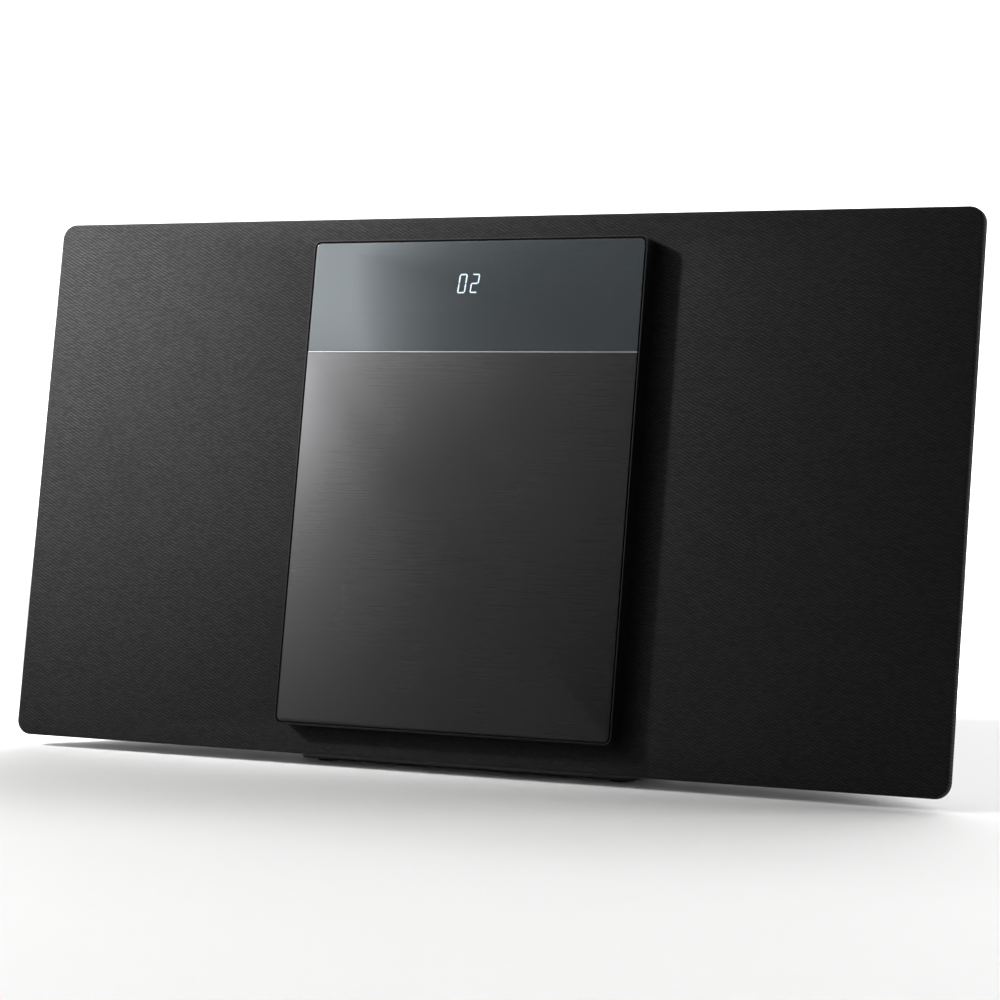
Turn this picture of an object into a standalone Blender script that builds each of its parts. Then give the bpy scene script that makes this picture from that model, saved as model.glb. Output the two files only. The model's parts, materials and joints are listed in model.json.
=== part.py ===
"""Slim vertical CD stereo: a cloth-faced housing that leans back on a thin stand, with a door that
slides sideways over the face. Metres, +Z up, +X to the viewer's right, +Y to the back. The origin is
the middle of the footprint. Pieces of the housing are placed in the leaning frame of the face: x to
the right, y into the housing from the cloth's front, z up along the face."""

import math

import bmesh
import bpy
from mathutils import Matrix

MM = 0.001

# Clearances
FIT_GAP = 0.3 * MM
RUN_GAP = 0.2 * MM
PANEL_GAP = 0.3 * MM

# Face and lean
FACE_WIDTH = 400 * MM
FACE_HEIGHT = 212.5 * MM
FACE_CORNER = 6 * MM
FACE_EDGE = 1.2 * MM
LEAST_CORNER = 1.5 * MM
LEAN = math.radians(9.9)

# Cloth, its frame and the baffle
CLOTH = 0.6 * MM
CLOTH_WRAP = 3.6 * MM
BAFFLE = 3.0 * MM
BAFFLE_INSET = 3.0 * MM
SLOT_WIDTH = 5 * MM
SLOT_PITCH = 8 * MM
SLOTS_PER_SIDE = 7

# Door
DOOR_WIDTH = 144.8 * MM
DOOR_BOTTOM = 10.9 * MM
DOOR_TOP_MARGIN = 10.4 * MM
DOOR_PROUD = 8.0 * MM
DOOR_AIR = 0.8 * MM
DOOR_CORNER = 3.0 * MM
DOOR_WALL = 1.4 * MM
DOOR_RIM = 0.6 * MM
DOOR_GROOVE = 0.4 * MM
DOOR_EDGE = 0.3 * MM
DOOR_WEB = 1.2 * MM
PLATE = 1.1 * MM
PLATE_CORNER = 1.5 * MM
PLATE_EDGE = 0.2 * MM
DOOR_LEAST_CORNER = 1.2 * MM
WINDOW_HEIGHT = 43.3 * MM
DOOR_OVERLAP = 2.4 * MM
OPENING_MARGIN = 2.0 * MM
OPENING_CORNER = 2.0 * MM

# Display
DISPLAY_WIDTH = 109 * MM
DISPLAY_HEIGHT = 22.8 * MM
DISPLAY_DROP = 4.7 * MM
DISPLAY_BORDER = 2.6 * MM
DISPLAY_DEPTH = 2.9 * MM
DISPLAY_CORNER = 0.5 * MM

# Door rails, sliders and drive
RAIL_RADIUS = 1.5 * MM
RAIL_DEPTH = 8.5 * MM
RAIL_MARGIN = 4.1 * MM
RAIL_SEAT = 6.0 * MM
BOSS = 7 * MM
SLIDER_WIDTH = 10 * MM
SLIDER_HEIGHT = 7.2 * MM
SLIDER_STOP = 1.2 * MM
GEAR_MODULE = 0.8 * MM
PINION_TEETH = 14
DRIVE_TEETH = 30
MOTOR_TEETH = 10
ADDENDUM = 0.8
DEDENDUM = 1.0
TOOTH_SHARE = 0.42
PRESSURE_ANGLE = math.radians(20)
MESH_SLACK = 0.1 * MM
RACK_HEIGHT = 4.5 * MM
RACK_RISE = 14.5 * MM
GEAR_WIDTH = 3.0 * MM
SHAFT_RADIUS = 1.5 * MM
MOTOR_SHAFT = 1.0 * MM
DOOR_MOTOR_RADIUS = 8 * MM
DOOR_MOTOR_LENGTH = 20 * MM
MOTOR_GRIP = 4 * MM
MOTOR_CHAMFER = 1 * MM
MOTOR_POST_HALF = 1 * MM
MOTOR_POST_AIR = 0.36 * MM
BORE_AIR = 0.5 * MM
SHAFT_TAIL = 1.2 * MM
MOTOR_GEAR_ANGLE = math.radians(45)

# CD deck
WELL_RADIUS = 62 * MM
WELL_WALL = 1.6 * MM
WELL_FLOOR = 9.5 * MM
WELL_SKIN = 1.4 * MM
WELL_SHIFT = 5.5 * MM
BEZEL_FRONT = 2.0 * MM
BEZEL = 2.2 * MM
BEZEL_SIDE = 0.5 * MM
BEZEL_MARGIN = 8.6 * MM
FLANGE_LIP = 12 * MM
BEZEL_CORNER = 2 * MM
FLANGE_CORNER = 3 * MM
HUB_RADIUS = 10 * MM
HUB_NOSE = 7.3 * MM
HUB_AIR = 0.8 * MM
DISC_SEAT = 6.2 * MM
SPINDLE_RADIUS = 9 * MM
SPINDLE_BORE = 4 * MM
HUB_RISE = 4 * MM
HUB_FLANGE = 1 * MM
HUB_NOTCH = 2 * MM
NOSE_TIP = 3 * MM
NOSE_CHAMFER = 1 * MM
NOSE_CROWN = 0.4 * MM
LENS_INNER = 22 * MM
LENS_TRAVEL = 33 * MM
LENS_RADIUS = 2.3 * MM
LENS_TURRET = 3.6 * MM
LENS_HEIGHT = 0.8 * MM
TURRET_RISE = 1.1 * MM
SLED_AIR = 0.4 * MM
SLED_HALF = 8 * MM
SLED_HEIGHT = 17 * MM
ROD_OFFSET = 14 * MM
ROD_DEPTH = 14 * MM
ROD_RADIUS = 1.5 * MM
SCREW_PITCH = 5 * MM
SCREW_EDGE = 0.25 * MM
SLED_MOTOR_RADIUS = 5 * MM
SLED_MOTOR_LENGTH = 16 * MM
SLED_MOTOR_BORE = 4 * MM
SCREW_TAIL = 3 * MM
CHASSIS = 1.2 * MM
CHASSIS_LEFT = 12 * MM
CHASSIS_RIM = 6 * MM
HOLDER_HALF = 2.6 * MM

# Speakers
SPEAKER_SIDE = 70 * MM
CONE_HOLE = 28 * MM
BASKET_RADIUS = 33 * MM
MAGNET_RADIUS = 20 * MM
MAGNET_LENGTH = 16 * MM
BASKET_DEPTH = 19 * MM
COIL_RADIUS = 8.4 * MM
BASKET_WALL = 1.4 * MM
BASKET_SEAT = 5.4 * MM
BASKET_RIM = 2 * MM
BASKET_WINDOW_HALF = 5 * MM
BASKET_WINDOW_END = 3 * MM
MAGNET_NECK = 1.8 * MM
POLE_GAP = 1.2 * MM
COIL_GAP = 0.8 * MM
COIL_SLOT = 7.5 * MM
COIL_REACH = 4.5 * MM
COIL_SKIN = 0.6 * MM
SURROUND_SEAT = 1.8 * MM
SURROUND_ROLL = 2.2 * MM
SURROUND_LIP = 1.1 * MM
SURROUND_SKIN = 0.6 * MM

# Speaker cone and its dust cap: depths behind the basket's front
CAP_TIP = 1.5 * MM
CAP_EDGE = 6.0 * MM
CAP_LAP = 0.4 * MM
CAP_DEPTH = 9.0 * MM
CAP_RISE = 0.8 * MM
CAP_SKIN = 0.7 * MM
CAP_BACK = 13.2 * MM
CONE_NECK = 12.8 * MM
CONE_SKIN = 1.6 * MM
CONE_LAP = 0.3 * MM
CONE_RIM = 0.7 * MM
CONE_LIP = 0.1 * MM

# Rear shell: depth behind the cloth's front, side inset, bottom inset, top inset, corner radius
SHELL_WALL = 2.5 * MM
SHELL = [
    (7.2 * MM, 4 * MM, 4 * MM, 4 * MM, 6 * MM),
    (16 * MM, 10 * MM, 5 * MM, 5 * MM, 8 * MM),
    (34 * MM, 28 * MM, 9 * MM, 9.5 * MM, 12 * MM),
    (52 * MM, 50 * MM, 15 * MM, 16.5 * MM, 14 * MM),
    (58 * MM, 57 * MM, 20 * MM, 22.5 * MM, 12 * MM),
]
BACK = SHELL[-1][0]
VENTS = 9
VENT_PITCH = 9 * MM

# Control panel and buttons
CONTROL_HALF = 75 * MM
CONTROL_FRONT = 9.5 * MM
CONTROL_BACK = 28.5 * MM
CONTROL_DROP = 3.3 * MM
CONTROL_HEIGHT = 8.7 * MM
CONTROL_WALL = 1.6 * MM
CONTROL_TOP = 2.0 * MM
CONTROL_CORNER = 3 * MM
CONTROL_INNER_CORNER = 1.4 * MM
CONTROL_EDGE = 0.6 * MM
BUTTONS = ["power", "source", "volume_down", "volume_up", "stop", "play", "door"]
BUTTON_PITCH = 19 * MM
BUTTON_HALF = (5.5 * MM, 3.0 * MM)
BUTTON_RISE = 0.8 * MM
BUTTON_LIP = 1.1 * MM
BUTTON_TRAVEL = 0.8 * MM
BUTTON_CORNER = 1.5 * MM
BUTTON_EDGE = 0.4 * MM
BUTTON_STEM = 1.5 * MM
BUTTON_FLANGE = 0.8 * MM
STEM_CORNER = 0.5 * MM
FLANGE_CORNER_RADIUS = 2 * MM
BOARD = 1.6 * MM

# Boards: across the face, and up it
MAIN_BOARD_HALF = 58 * MM
MAIN_BOARD_BOTTOM = 66 * MM
MAIN_BOARD_TOP_MARGIN = 32 * MM
MAIN_BOARD_DEPTH = 30 * MM
HEAT_SINK_HALF = 25 * MM
HEAT_SINK_HEIGHT = 50 * MM
HEAT_SINK_DEPTH = 13 * MM
HEAT_SINK_FINS = 7
HEAT_SINK_BASE = 3 * MM
POWER_BOARD_SIDES = (-112 * MM, -62 * MM)
POWER_BOARD_RISE = (24 * MM, 78 * MM)
TRANSFORMER_SIZE = (26 * MM, 15 * MM, 30 * MM)
TRANSFORMER_INSET = 4 * MM
TRANSFORMER_RISE = 6 * MM
POST = 2.5 * MM

# Rear sockets: middle measured across and up the face
INLET_AT = (-100 * MM, 45 * MM)
ANTENNA_AT = (-72 * MM, 45 * MM)
AUX_AT = (74 * MM, 45 * MM)
PHONES_AT = (94 * MM, 45 * MM)
INLET_HALF = (10.5 * MM, 6 * MM)
INLET_MOUTH = (7 * MM, 4 * MM)
INLET_LENGTH = 14.3 * MM
PIN_OFFSET = 4.3 * MM
PIN_RADIUS = 1.1 * MM
PIN_SHORT = 2 * MM
INLET_FLANGE = 2.5 * MM
INLET_FLANGE_DEPTH = 1.2 * MM
INLET_BACK = 2.3 * MM
INLET_MOUTH_FLAT = 0.2 * MM
JACK_RADIUS = 4 * MM
JACK_BORE = 1.8 * MM
JACK_LENGTH = 11 * MM
JACK_DEPTH = 9 * MM
JACK_FLANGE = 0.8 * MM
JACK_FLANGE_RADIUS = 5 * MM
JACK_STEP = 0.8 * MM
JACK_REACH = 1.2 * MM
ANTENNA_FLANGE = 7 * MM
ANTENNA_BORE = 1.5 * MM
ANTENNA_REACH = 8 * MM

# Stand
FOOT_HEIGHT = 1.0 * MM
FOOT_RADIUS = 5 * MM
FOOT_INSET = 9 * MM
BASE_THICKNESS = 2.9 * MM
BASE_HALF = 72.8 * MM
BASE_FRONT = 14 * MM
BASE_DEPTH = 87 * MM
BASE_CORNER = 4 * MM
BASE_LOW_EDGE = 0.4 * MM
BASE_HIGH_EDGE = 0.5 * MM
FACE_CLEAR = 0.8 * MM
NECK_HALF = 55 * MM
NECK_TOP = 62 * MM
NECK_FOOT = 92 * MM
NECK_SCREW_X = 35 * MM
NECK_SCREW_Z = 54 * MM
NECK_START = 3 * MM
NECK_WALL = 3 * MM
NECK_CREST = (6.4 * MM, 1 * MM)
NECK_PULL = (76 * MM, 14 * MM)
SCREW_POST_HALF = 4.5 * MM
SCREW_POST = 11 * MM
SCREW_HOLE = 9 * MM
SCREW_REACH = 8 * MM
SCREW_HEAD = 2 * MM
SCREW_HEAD_RADIUS = 3.2 * MM
SCREW_HEAD_AIR = 0.4 * MM
COUNTERBORE = 20 * MM

# Derived places in the leaning frame
FACE_HALF = FACE_WIDTH / 2
DOOR_HALF = DOOR_WIDTH / 2
DOOR_TOP = FACE_HEIGHT - DOOR_TOP_MARGIN
DOOR_BACK = -DOOR_AIR
PLATE_BACK = PLATE - DOOR_PROUD
WEB_FRONT = PLATE_BACK + FIT_GAP
WEB_BACK = WEB_FRONT + DOOR_WEB
PLATE_HALF = DOOR_HALF - DOOR_RIM - DOOR_GROOVE
PLATE_TOP = DOOR_TOP - DOOR_RIM - DOOR_GROOVE
PLATE_BOTTOM = DOOR_BOTTOM + DOOR_RIM + DOOR_GROOVE
WINDOW_BOTTOM = PLATE_TOP - WINDOW_HEIGHT
OPENING_HALF = DOOR_HALF - DOOR_OVERLAP
OPENING_BOTTOM = DOOR_BOTTOM + OPENING_MARGIN
OPENING_TOP = DOOR_TOP - OPENING_MARGIN
DOOR_TRAVEL = 2 * OPENING_HALF - SLIDER_WIDTH - 2 * SLIDER_STOP
FRAME_FRONT = CLOTH + FIT_GAP
BAFFLE_FRONT = CLOTH_WRAP + FIT_GAP
BAFFLE_BACK = BAFFLE_FRONT + BAFFLE
RAIL_LOW = OPENING_BOTTOM + RAIL_MARGIN
RAIL_HIGH = OPENING_TOP - RAIL_MARGIN
RAIL_HALF = OPENING_HALF + RAIL_SEAT
PINION_RADIUS = GEAR_MODULE * PINION_TEETH / 2
PINION_TIP = PINION_RADIUS + GEAR_MODULE * ADDENDUM
PINION_X = min(DOOR_TRAVEL / 2, DOOR_HALF - DOOR_WALL - FIT_GAP - PINION_TIP)
RACK_LINE = DOOR_BOTTOM + RACK_RISE + RACK_HEIGHT
PINION_Z = RACK_LINE + PINION_RADIUS + MESH_SLACK
PINION_FRONT = WEB_BACK + 2 * FIT_GAP
BEZEL_BOTTOM = OPENING_BOTTOM + BEZEL_MARGIN
BEZEL_TOP = OPENING_TOP - BEZEL_MARGIN
BEZEL_BACK = BEZEL_FRONT + BEZEL
WELL_X = -WELL_SHIFT
WELL_Z = (BEZEL_BOTTOM + BEZEL_TOP) / 2
FLANGE_FRONT = BAFFLE_BACK + FIT_GAP
FLANGE_BACK = FLANGE_FRONT + WELL_SKIN
WELL_BACK = WELL_FLOOR + WELL_SKIN
DRIVE_FRONT = FLANGE_BACK + 0.5 * MM
DRIVE_BACK = DRIVE_FRONT + GEAR_WIDTH
MOTOR_POST_AT = GEAR_MODULE * (MOTOR_TEETH / 2 + ADDENDUM) + MOTOR_POST_AIR + MOTOR_POST_HALF
GEAR_SPACING = GEAR_MODULE * (DRIVE_TEETH + MOTOR_TEETH) / 2 + MESH_SLACK
MOTOR_X = PINION_X + GEAR_SPACING * math.cos(MOTOR_GEAR_ANGLE)
MOTOR_Z = PINION_Z + GEAR_SPACING * math.sin(MOTOR_GEAR_ANGLE)
LENS_X = WELL_X + LENS_INNER
ROD_FROM = LENS_X - SLED_HALF - 2 * MM
HOLDER = 4 * MM
ROD_TO = LENS_X + LENS_TRAVEL + SLED_HALF + 2 * FIT_GAP
CHASSIS_FRONT = ROD_DEPTH + 3.5 * MM
SPEAKER_X = FACE_HALF - SPEAKER_SIDE
SPEAKER_Z = FACE_HEIGHT / 2
BASKET_FRONT = BAFFLE_BACK + FIT_GAP
BASKET_BACK = BASKET_FRONT + BASKET_DEPTH
CONTROL_Z = FACE_HEIGHT - CONTROL_DROP
BOARD_TOP = CONTROL_Z - 5.9 * MM
FACE_RISE = FOOT_HEIGHT + FIT_GAP + BASE_THICKNESS + FACE_CLEAR
DOOR_REACH = DOOR_PROUD * math.cos(LEAN) - DOOR_BOTTOM * math.sin(LEAN)
FACE_Y = (DOOR_REACH - BASE_FRONT - BASE_DEPTH) / 2


# Helpers


def clear_scene():
    for item in list(bpy.data.objects):
        bpy.data.objects.remove(item, do_unlink=True)


def look(name, colour, roughness, metallic=0.0):
    """A Principled material."""
    made = bpy.data.materials.new(name)
    made.use_nodes = True
    shader = made.node_tree.nodes["Principled BSDF"]
    shader.inputs["Base Color"].default_value = (*colour, 1.0)
    shader.inputs["Roughness"].default_value = roughness
    shader.inputs["Metallic"].default_value = metallic
    return made


def make_empty(name, parent=None, at=(0, 0, 0)):
    empty = bpy.data.objects.new(name, None)
    bpy.context.scene.collection.objects.link(empty)
    empty.parent = parent
    empty.location = at
    return empty


def make_object(name, shape, material=None, parent=None, at=(0, 0, 0)):
    """Turns a bmesh into an object with its faces pointing out."""
    bmesh.ops.recalc_face_normals(shape, faces=shape.faces)
    mesh = bpy.data.meshes.new(name)
    shape.to_mesh(mesh)
    shape.free()
    mesh.shade_smooth()
    mesh.set_sharp_from_angle(angle=math.radians(30))
    made = bpy.data.objects.new(name, mesh)
    if material:
        mesh.materials.append(material)
    bpy.context.scene.collection.objects.link(made)
    made.parent = parent
    made.location = at
    return made


def combine(target, tool_shapes, operation, parent):
    """Adds exact Booleans that cut each tool shape from the target or join it on."""
    for number, shape in enumerate(tool_shapes):
        tool = make_object(f"{target.name}_{operation.lower()}_{number}", shape, None, parent)
        tool.hide_render = True
        tool.display_type = "WIRE"
        step = target.modifiers.new(tool.name, "BOOLEAN")
        step.operation = operation
        step.solver = "EXACT"
        step.object = tool


def cut(target, shapes, parent):
    combine(target, shapes, "DIFFERENCE", parent)


def join(target, shapes, parent):
    combine(target, shapes, "UNION", parent)


def loft(rings, closed=False):
    """Joins rings with the same number of points, and caps the ends or closes the tube on itself."""
    shape = bmesh.new()
    rows = [[shape.verts.new(point) for point in ring] for ring in rings]
    pairs = list(zip(rows, rows[1:]))
    if closed:
        pairs.append((rows[-1], rows[0]))
    else:
        shape.faces.new(rows[0])
        shape.faces.new(rows[-1])
    count = len(rows[0])
    for low, high in pairs:
        for i in range(count):
            j = (i + 1) % count
            shape.faces.new((low[i], low[j], high[j], high[i]))
    return shape


def merge(shapes):
    """Puts several separate shapes in one bmesh."""
    whole = bmesh.new()
    for shape in shapes:
        mesh = bpy.data.meshes.new("merged")
        shape.to_mesh(mesh)
        shape.free()
        whole.from_mesh(mesh)
        bpy.data.meshes.remove(mesh)
    return whole


def rect_ring(half, low, high, radius, y, steps=4, x=0.0):
    """A rounded rectangle in the plane of the face at depth y, from its upper right corner round."""
    points = []
    corners = [(1, high, 0), (-1, high, 90), (-1, low, 180), (1, low, 270)]
    for side, edge, start in corners:
        centre_x = x + side * (half - radius)
        centre_z = edge - radius if edge == high else edge + radius
        for i in range(steps + 1):
            angle = math.radians(start + 90 * i / steps)
            points.append((centre_x + radius * math.cos(angle), y, centre_z + radius * math.sin(angle)))
    return points


def circle_ring(radius, y, x=0.0, z=0.0, steps=4):
    """A circle with as many points as a rounded rectangle, so that the two can be joined."""
    points = []
    for corner in range(4):
        for i in range(steps + 1):
            share = (corner + (i + 0.5) / (steps + 1)) / 4
            angle = 2 * math.pi * share
            points.append((x + radius * math.cos(angle), y, z + radius * math.sin(angle)))
    return points


def turned(profile, segments=24, closed=False):
    """A shape turned about the y axis from (radius, y) points."""
    rings = []
    for radius, y in profile:
        ring = []
        for i in range(segments):
            angle = 2 * math.pi * i / segments
            ring.append((radius * math.cos(angle), y, radius * math.sin(angle)))
        rings.append(ring)
    return loft(rings, closed)


def moved(shape, x=0.0, y=0.0, z=0.0):
    bmesh.ops.translate(shape, verts=shape.verts, vec=(x, y, z))
    return shape


def along_x(shape):
    """Turns a shape made about the y axis so that it lies along x."""
    bmesh.ops.rotate(shape, verts=shape.verts, cent=(0, 0, 0), matrix=Matrix.Rotation(-math.pi / 2, 3, "Z"))
    return shape


def rod(radius, start, end, segments=16):
    return turned([(radius, start), (radius, end)], segments)


def box(x, y, z):
    """A box from three (low, high) pairs."""
    ring = [(x[0], z[0]), (x[1], z[0]), (x[1], z[1]), (x[0], z[1])]
    return loft([[(a, depth, b) for a, b in ring] for depth in y])


def about(middle, half):
    return (middle - half, middle + half)


def prism(outline, y):
    """Extrudes an (x, z) outline over a (low, high) depth."""
    return loft([[(x, depth, z) for x, z in outline] for depth in y])


# Gears


def tooth_half_angle(radius, teeth):
    """Half the angle that an involute tooth takes up at a radius."""
    pitch_radius = GEAR_MODULE * teeth / 2
    base = pitch_radius * math.cos(PRESSURE_ANGLE)
    slope = math.acos(min(1.0, base / radius))
    at_pitch = TOOTH_SHARE * math.pi / teeth
    return at_pitch + math.tan(PRESSURE_ANGLE) - PRESSURE_ANGLE - math.tan(slope) + slope


def gear_outline(teeth, toward):
    """A spur gear's outline with the middle of one tooth at the angle `toward`."""
    pitch_radius = GEAR_MODULE * teeth / 2
    root = pitch_radius - DEDENDUM * GEAR_MODULE
    tip = pitch_radius + ADDENDUM * GEAR_MODULE
    points = []
    for tooth in range(teeth):
        middle = toward + 2 * math.pi * tooth / teeth
        rise = [(radius, -tooth_half_angle(radius, teeth)) for radius in (root, pitch_radius, tip)]
        fall = [(radius, -angle) for radius, angle in reversed(rise)]
        for radius, angle in rise + fall:
            points.append((radius * math.cos(middle + angle), radius * math.sin(middle + angle)))
    return points


def rack_outline():
    """A bar with teeth on its upper side that leave a gap over the pinion's axis."""
    pitch = math.pi * GEAR_MODULE
    root = RACK_LINE - DEDENDUM * GEAR_MODULE
    tip = RACK_LINE + ADDENDUM * GEAR_MODULE
    reach = PINION_X + 2.4 * pitch
    slope = math.tan(PRESSURE_ANGLE)
    narrow = TOOTH_SHARE * pitch / 2 - (tip - RACK_LINE) * slope
    wide = TOOTH_SHARE * pitch / 2 + (RACK_LINE - root) * slope
    points = [(reach, RACK_LINE - RACK_HEIGHT), (reach, root)]
    count = int((PINION_X + reach) / pitch)
    for tooth in range(-1, count):
        middle = PINION_X - (tooth - 0.5) * pitch
        points += [(middle + wide, root), (middle + narrow, tip)]
        points += [(middle - narrow, tip), (middle - wide, root)]
    points += [(-reach, root), (-reach, RACK_LINE - RACK_HEIGHT)]
    return points


def upward(shape):
    """Turns a shape made with its front towards -y so that its front looks up."""
    bmesh.ops.rotate(shape, verts=shape.verts, cent=(0, 0, 0), matrix=Matrix.Rotation(-math.pi / 2, 3, "X"))
    return shape


# Cloth, frame, baffle and rear shell


def face_ring(inset, y, steps=4):
    """The outline of the face, pulled in by an inset."""
    radius = max(FACE_CORNER - inset, LEAST_CORNER)
    return rect_ring(FACE_HALF - inset, inset, FACE_HEIGHT - inset, radius, y, steps)


def opening_ring(y, steps=4):
    return rect_ring(OPENING_HALF, OPENING_BOTTOM, OPENING_TOP, OPENING_CORNER, y, steps)


def face_edge(skin):
    """The rounded front edge of the face as rings, a skin's depth in from the outside, back to front."""
    rings = []
    for i in range(4):
        angle = math.radians(30 * i)
        radius = FACE_EDGE - skin
        inset = FACE_EDGE - radius * math.cos(angle)
        rings.append(face_ring(inset, FACE_EDGE - radius * math.sin(angle)))
    return rings


def make_grille_cloth(tilt, cloth):
    outer = [face_ring(0, CLOTH_WRAP)] + face_edge(0)
    inner = face_edge(CLOTH)[::-1] + [face_ring(CLOTH, CLOTH_WRAP)]
    rings = outer + [opening_ring(0), opening_ring(CLOTH)] + inner
    make_object("grille_cloth", loft(rings, closed=True), cloth, tilt)


def make_grille_frame(tilt, plastic):
    edge = CLOTH + FIT_GAP
    rings = [
        face_ring(edge, CLOTH_WRAP),
        face_ring(edge, 2 * edge),
        face_ring(2 * edge, edge),
        opening_ring(FRAME_FRONT),
        opening_ring(CLOTH_WRAP),
    ]
    frame = make_object("grille_frame", loft(rings, closed=True), plastic, tilt)
    slots = []
    for side in (-1, 1):
        for number in range(SLOTS_PER_SIDE):
            across = (number - (SLOTS_PER_SIDE - 1) / 2) * SLOT_PITCH
            rise = math.sqrt(CONE_HOLE**2 - across**2)
            middle = side * SPEAKER_X + across
            slots.append(box(about(middle, SLOT_WIDTH / 2), (0, BAFFLE_BACK), about(SPEAKER_Z, rise)))
    cut(frame, [merge(slots)], tilt)


def make_front_baffle(tilt, plastic):
    rings = [
        face_ring(BAFFLE_INSET, BAFFLE_BACK),
        face_ring(BAFFLE_INSET, BAFFLE_FRONT),
        opening_ring(BAFFLE_FRONT),
        opening_ring(BAFFLE_BACK),
    ]
    baffle = make_object("front_baffle", loft(rings, closed=True), plastic, tilt)
    bosses = []
    holes = [moved(rod(CONE_HOLE, 0, 2 * BAFFLE_BACK, 32), x, 0, SPEAKER_Z) for x in (-SPEAKER_X, SPEAKER_X)]
    for rail in (RAIL_LOW, RAIL_HIGH):
        for side in (-1, 1):
            inner = OPENING_HALF + FIT_GAP
            sides = sorted((side * inner, side * (inner + BOSS)))
            depth = (BAFFLE_BACK - BAFFLE / 2, RAIL_DEPTH + BOSS / 2)
            bosses.append(box(sides, depth, about(rail, BOSS / 2)))
        bore = along_x(rod(RAIL_RADIUS + RUN_GAP, -RAIL_HALF - FIT_GAP, RAIL_HALF + FIT_GAP))
        holes.append(moved(bore, 0, RAIL_DEPTH, rail))
    join(baffle, [merge(bosses)], tilt)
    cut(baffle, [merge(holes)], tilt)


def shell_ring(station, wall=0.0, y=None):
    depth, side, low, high, radius = station
    half = FACE_HALF - side - wall
    depth = depth if y is None else y
    return rect_ring(half, low + wall, FACE_HEIGHT - high - wall, max(radius - wall, LEAST_CORNER), depth)


def socket_holes():
    """Holes through the rear wall for the inlet and the three sockets."""
    through = (BACK - 2 * SHELL_WALL, BACK + SHELL_WALL)
    inlet_x, inlet_z = INLET_AT
    across = about(inlet_x, INLET_HALF[0] + FIT_GAP)
    shapes = [box(across, through, about(inlet_z, INLET_HALF[1] + FIT_GAP))]
    for x, z in (ANTENNA_AT, AUX_AT, PHONES_AT):
        shapes.append(moved(rod(JACK_RADIUS + FIT_GAP, *through), x, 0, z))
    return shapes


def vent_slots():
    top = FACE_HEIGHT - MAIN_BOARD_TOP_MARGIN
    through = (BACK - 2 * SHELL_WALL, BACK + SHELL_WALL)
    slots = []
    for number in range(VENTS):
        middle = (number - (VENTS - 1) / 2) * VENT_PITCH
        slots.append(box(about(middle, VENT_PITCH / 6), through, (top - HEAT_SINK_HEIGHT, top - BOSS)))
    return slots


def make_rear_cabinet(tilt, plastic):
    inside = [shell_ring(SHELL[-1], 0, BACK - SHELL_WALL)]
    inside += [shell_ring(station, SHELL_WALL) for station in reversed(SHELL[:-1])]
    outside = [shell_ring(station) for station in SHELL]
    cabinet = make_object("rear_cabinet", loft(inside + outside), plastic, tilt)
    wall = BACK - SHELL_WALL / 2
    posts = []
    for x in (-NECK_SCREW_X, NECK_SCREW_X):
        depth = (BACK - SCREW_POST, wall)
        posts.append(box(about(x, SCREW_POST_HALF), depth, about(NECK_SCREW_Z, SCREW_POST_HALF)))
    main_back = MAIN_BOARD_DEPTH + BOARD + FIT_GAP
    main_top = FACE_HEIGHT - MAIN_BOARD_TOP_MARGIN
    for x in (-MAIN_BOARD_HALF, MAIN_BOARD_HALF):
        inward = math.copysign(4 * POST, x)
        for z in (MAIN_BOARD_BOTTOM + 2 * POST, main_top - 2 * POST):
            posts.append(box(about(x - inward, POST), (main_back, wall), about(z, POST)))
    power_back = BACK + FIT_GAP - INLET_LENGTH
    for z in (POWER_BOARD_RISE[0] + 2 * POST, POWER_BOARD_RISE[1] - 2 * POST):
        posts.append(box(about(POWER_BOARD_SIDES[1] - 2 * POST, POST), (power_back, wall), about(z, POST)))
    join(cabinet, [merge(posts)], tilt)
    strip_sides = (CONTROL_HALF + FIT_GAP, CONTROL_FRONT - FIT_GAP, CONTROL_BACK + FIT_GAP)
    strip = [
        rect_ring(*strip_sides, CONTROL_CORNER + FIT_GAP, y)
        for y in (-FACE_HEIGHT, CONTROL_HEIGHT - CONTROL_Z)
    ]
    screw_holes = [
        moved(rod(SHAFT_RADIUS + RUN_GAP, BACK - SCREW_HOLE, BACK + SHELL_WALL), x, 0, NECK_SCREW_Z)
        for x in (-NECK_SCREW_X, NECK_SCREW_X)
    ]
    cut(cabinet, [merge([upward(loft(strip))] + screw_holes + socket_holes() + vent_slots())], tilt)


# Door


def door_ring(inset, y):
    radius = max(DOOR_CORNER - inset, DOOR_LEAST_CORNER)
    return rect_ring(DOOR_HALF - inset, DOOR_BOTTOM + inset, DOOR_TOP - inset, radius, y)


def display_ring(grow, y):
    high = PLATE_TOP - DISPLAY_DROP
    low = high - DISPLAY_HEIGHT
    return rect_ring(DISPLAY_WIDTH / 2 + grow, low - grow, high + grow, DISPLAY_CORNER, y)


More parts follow.
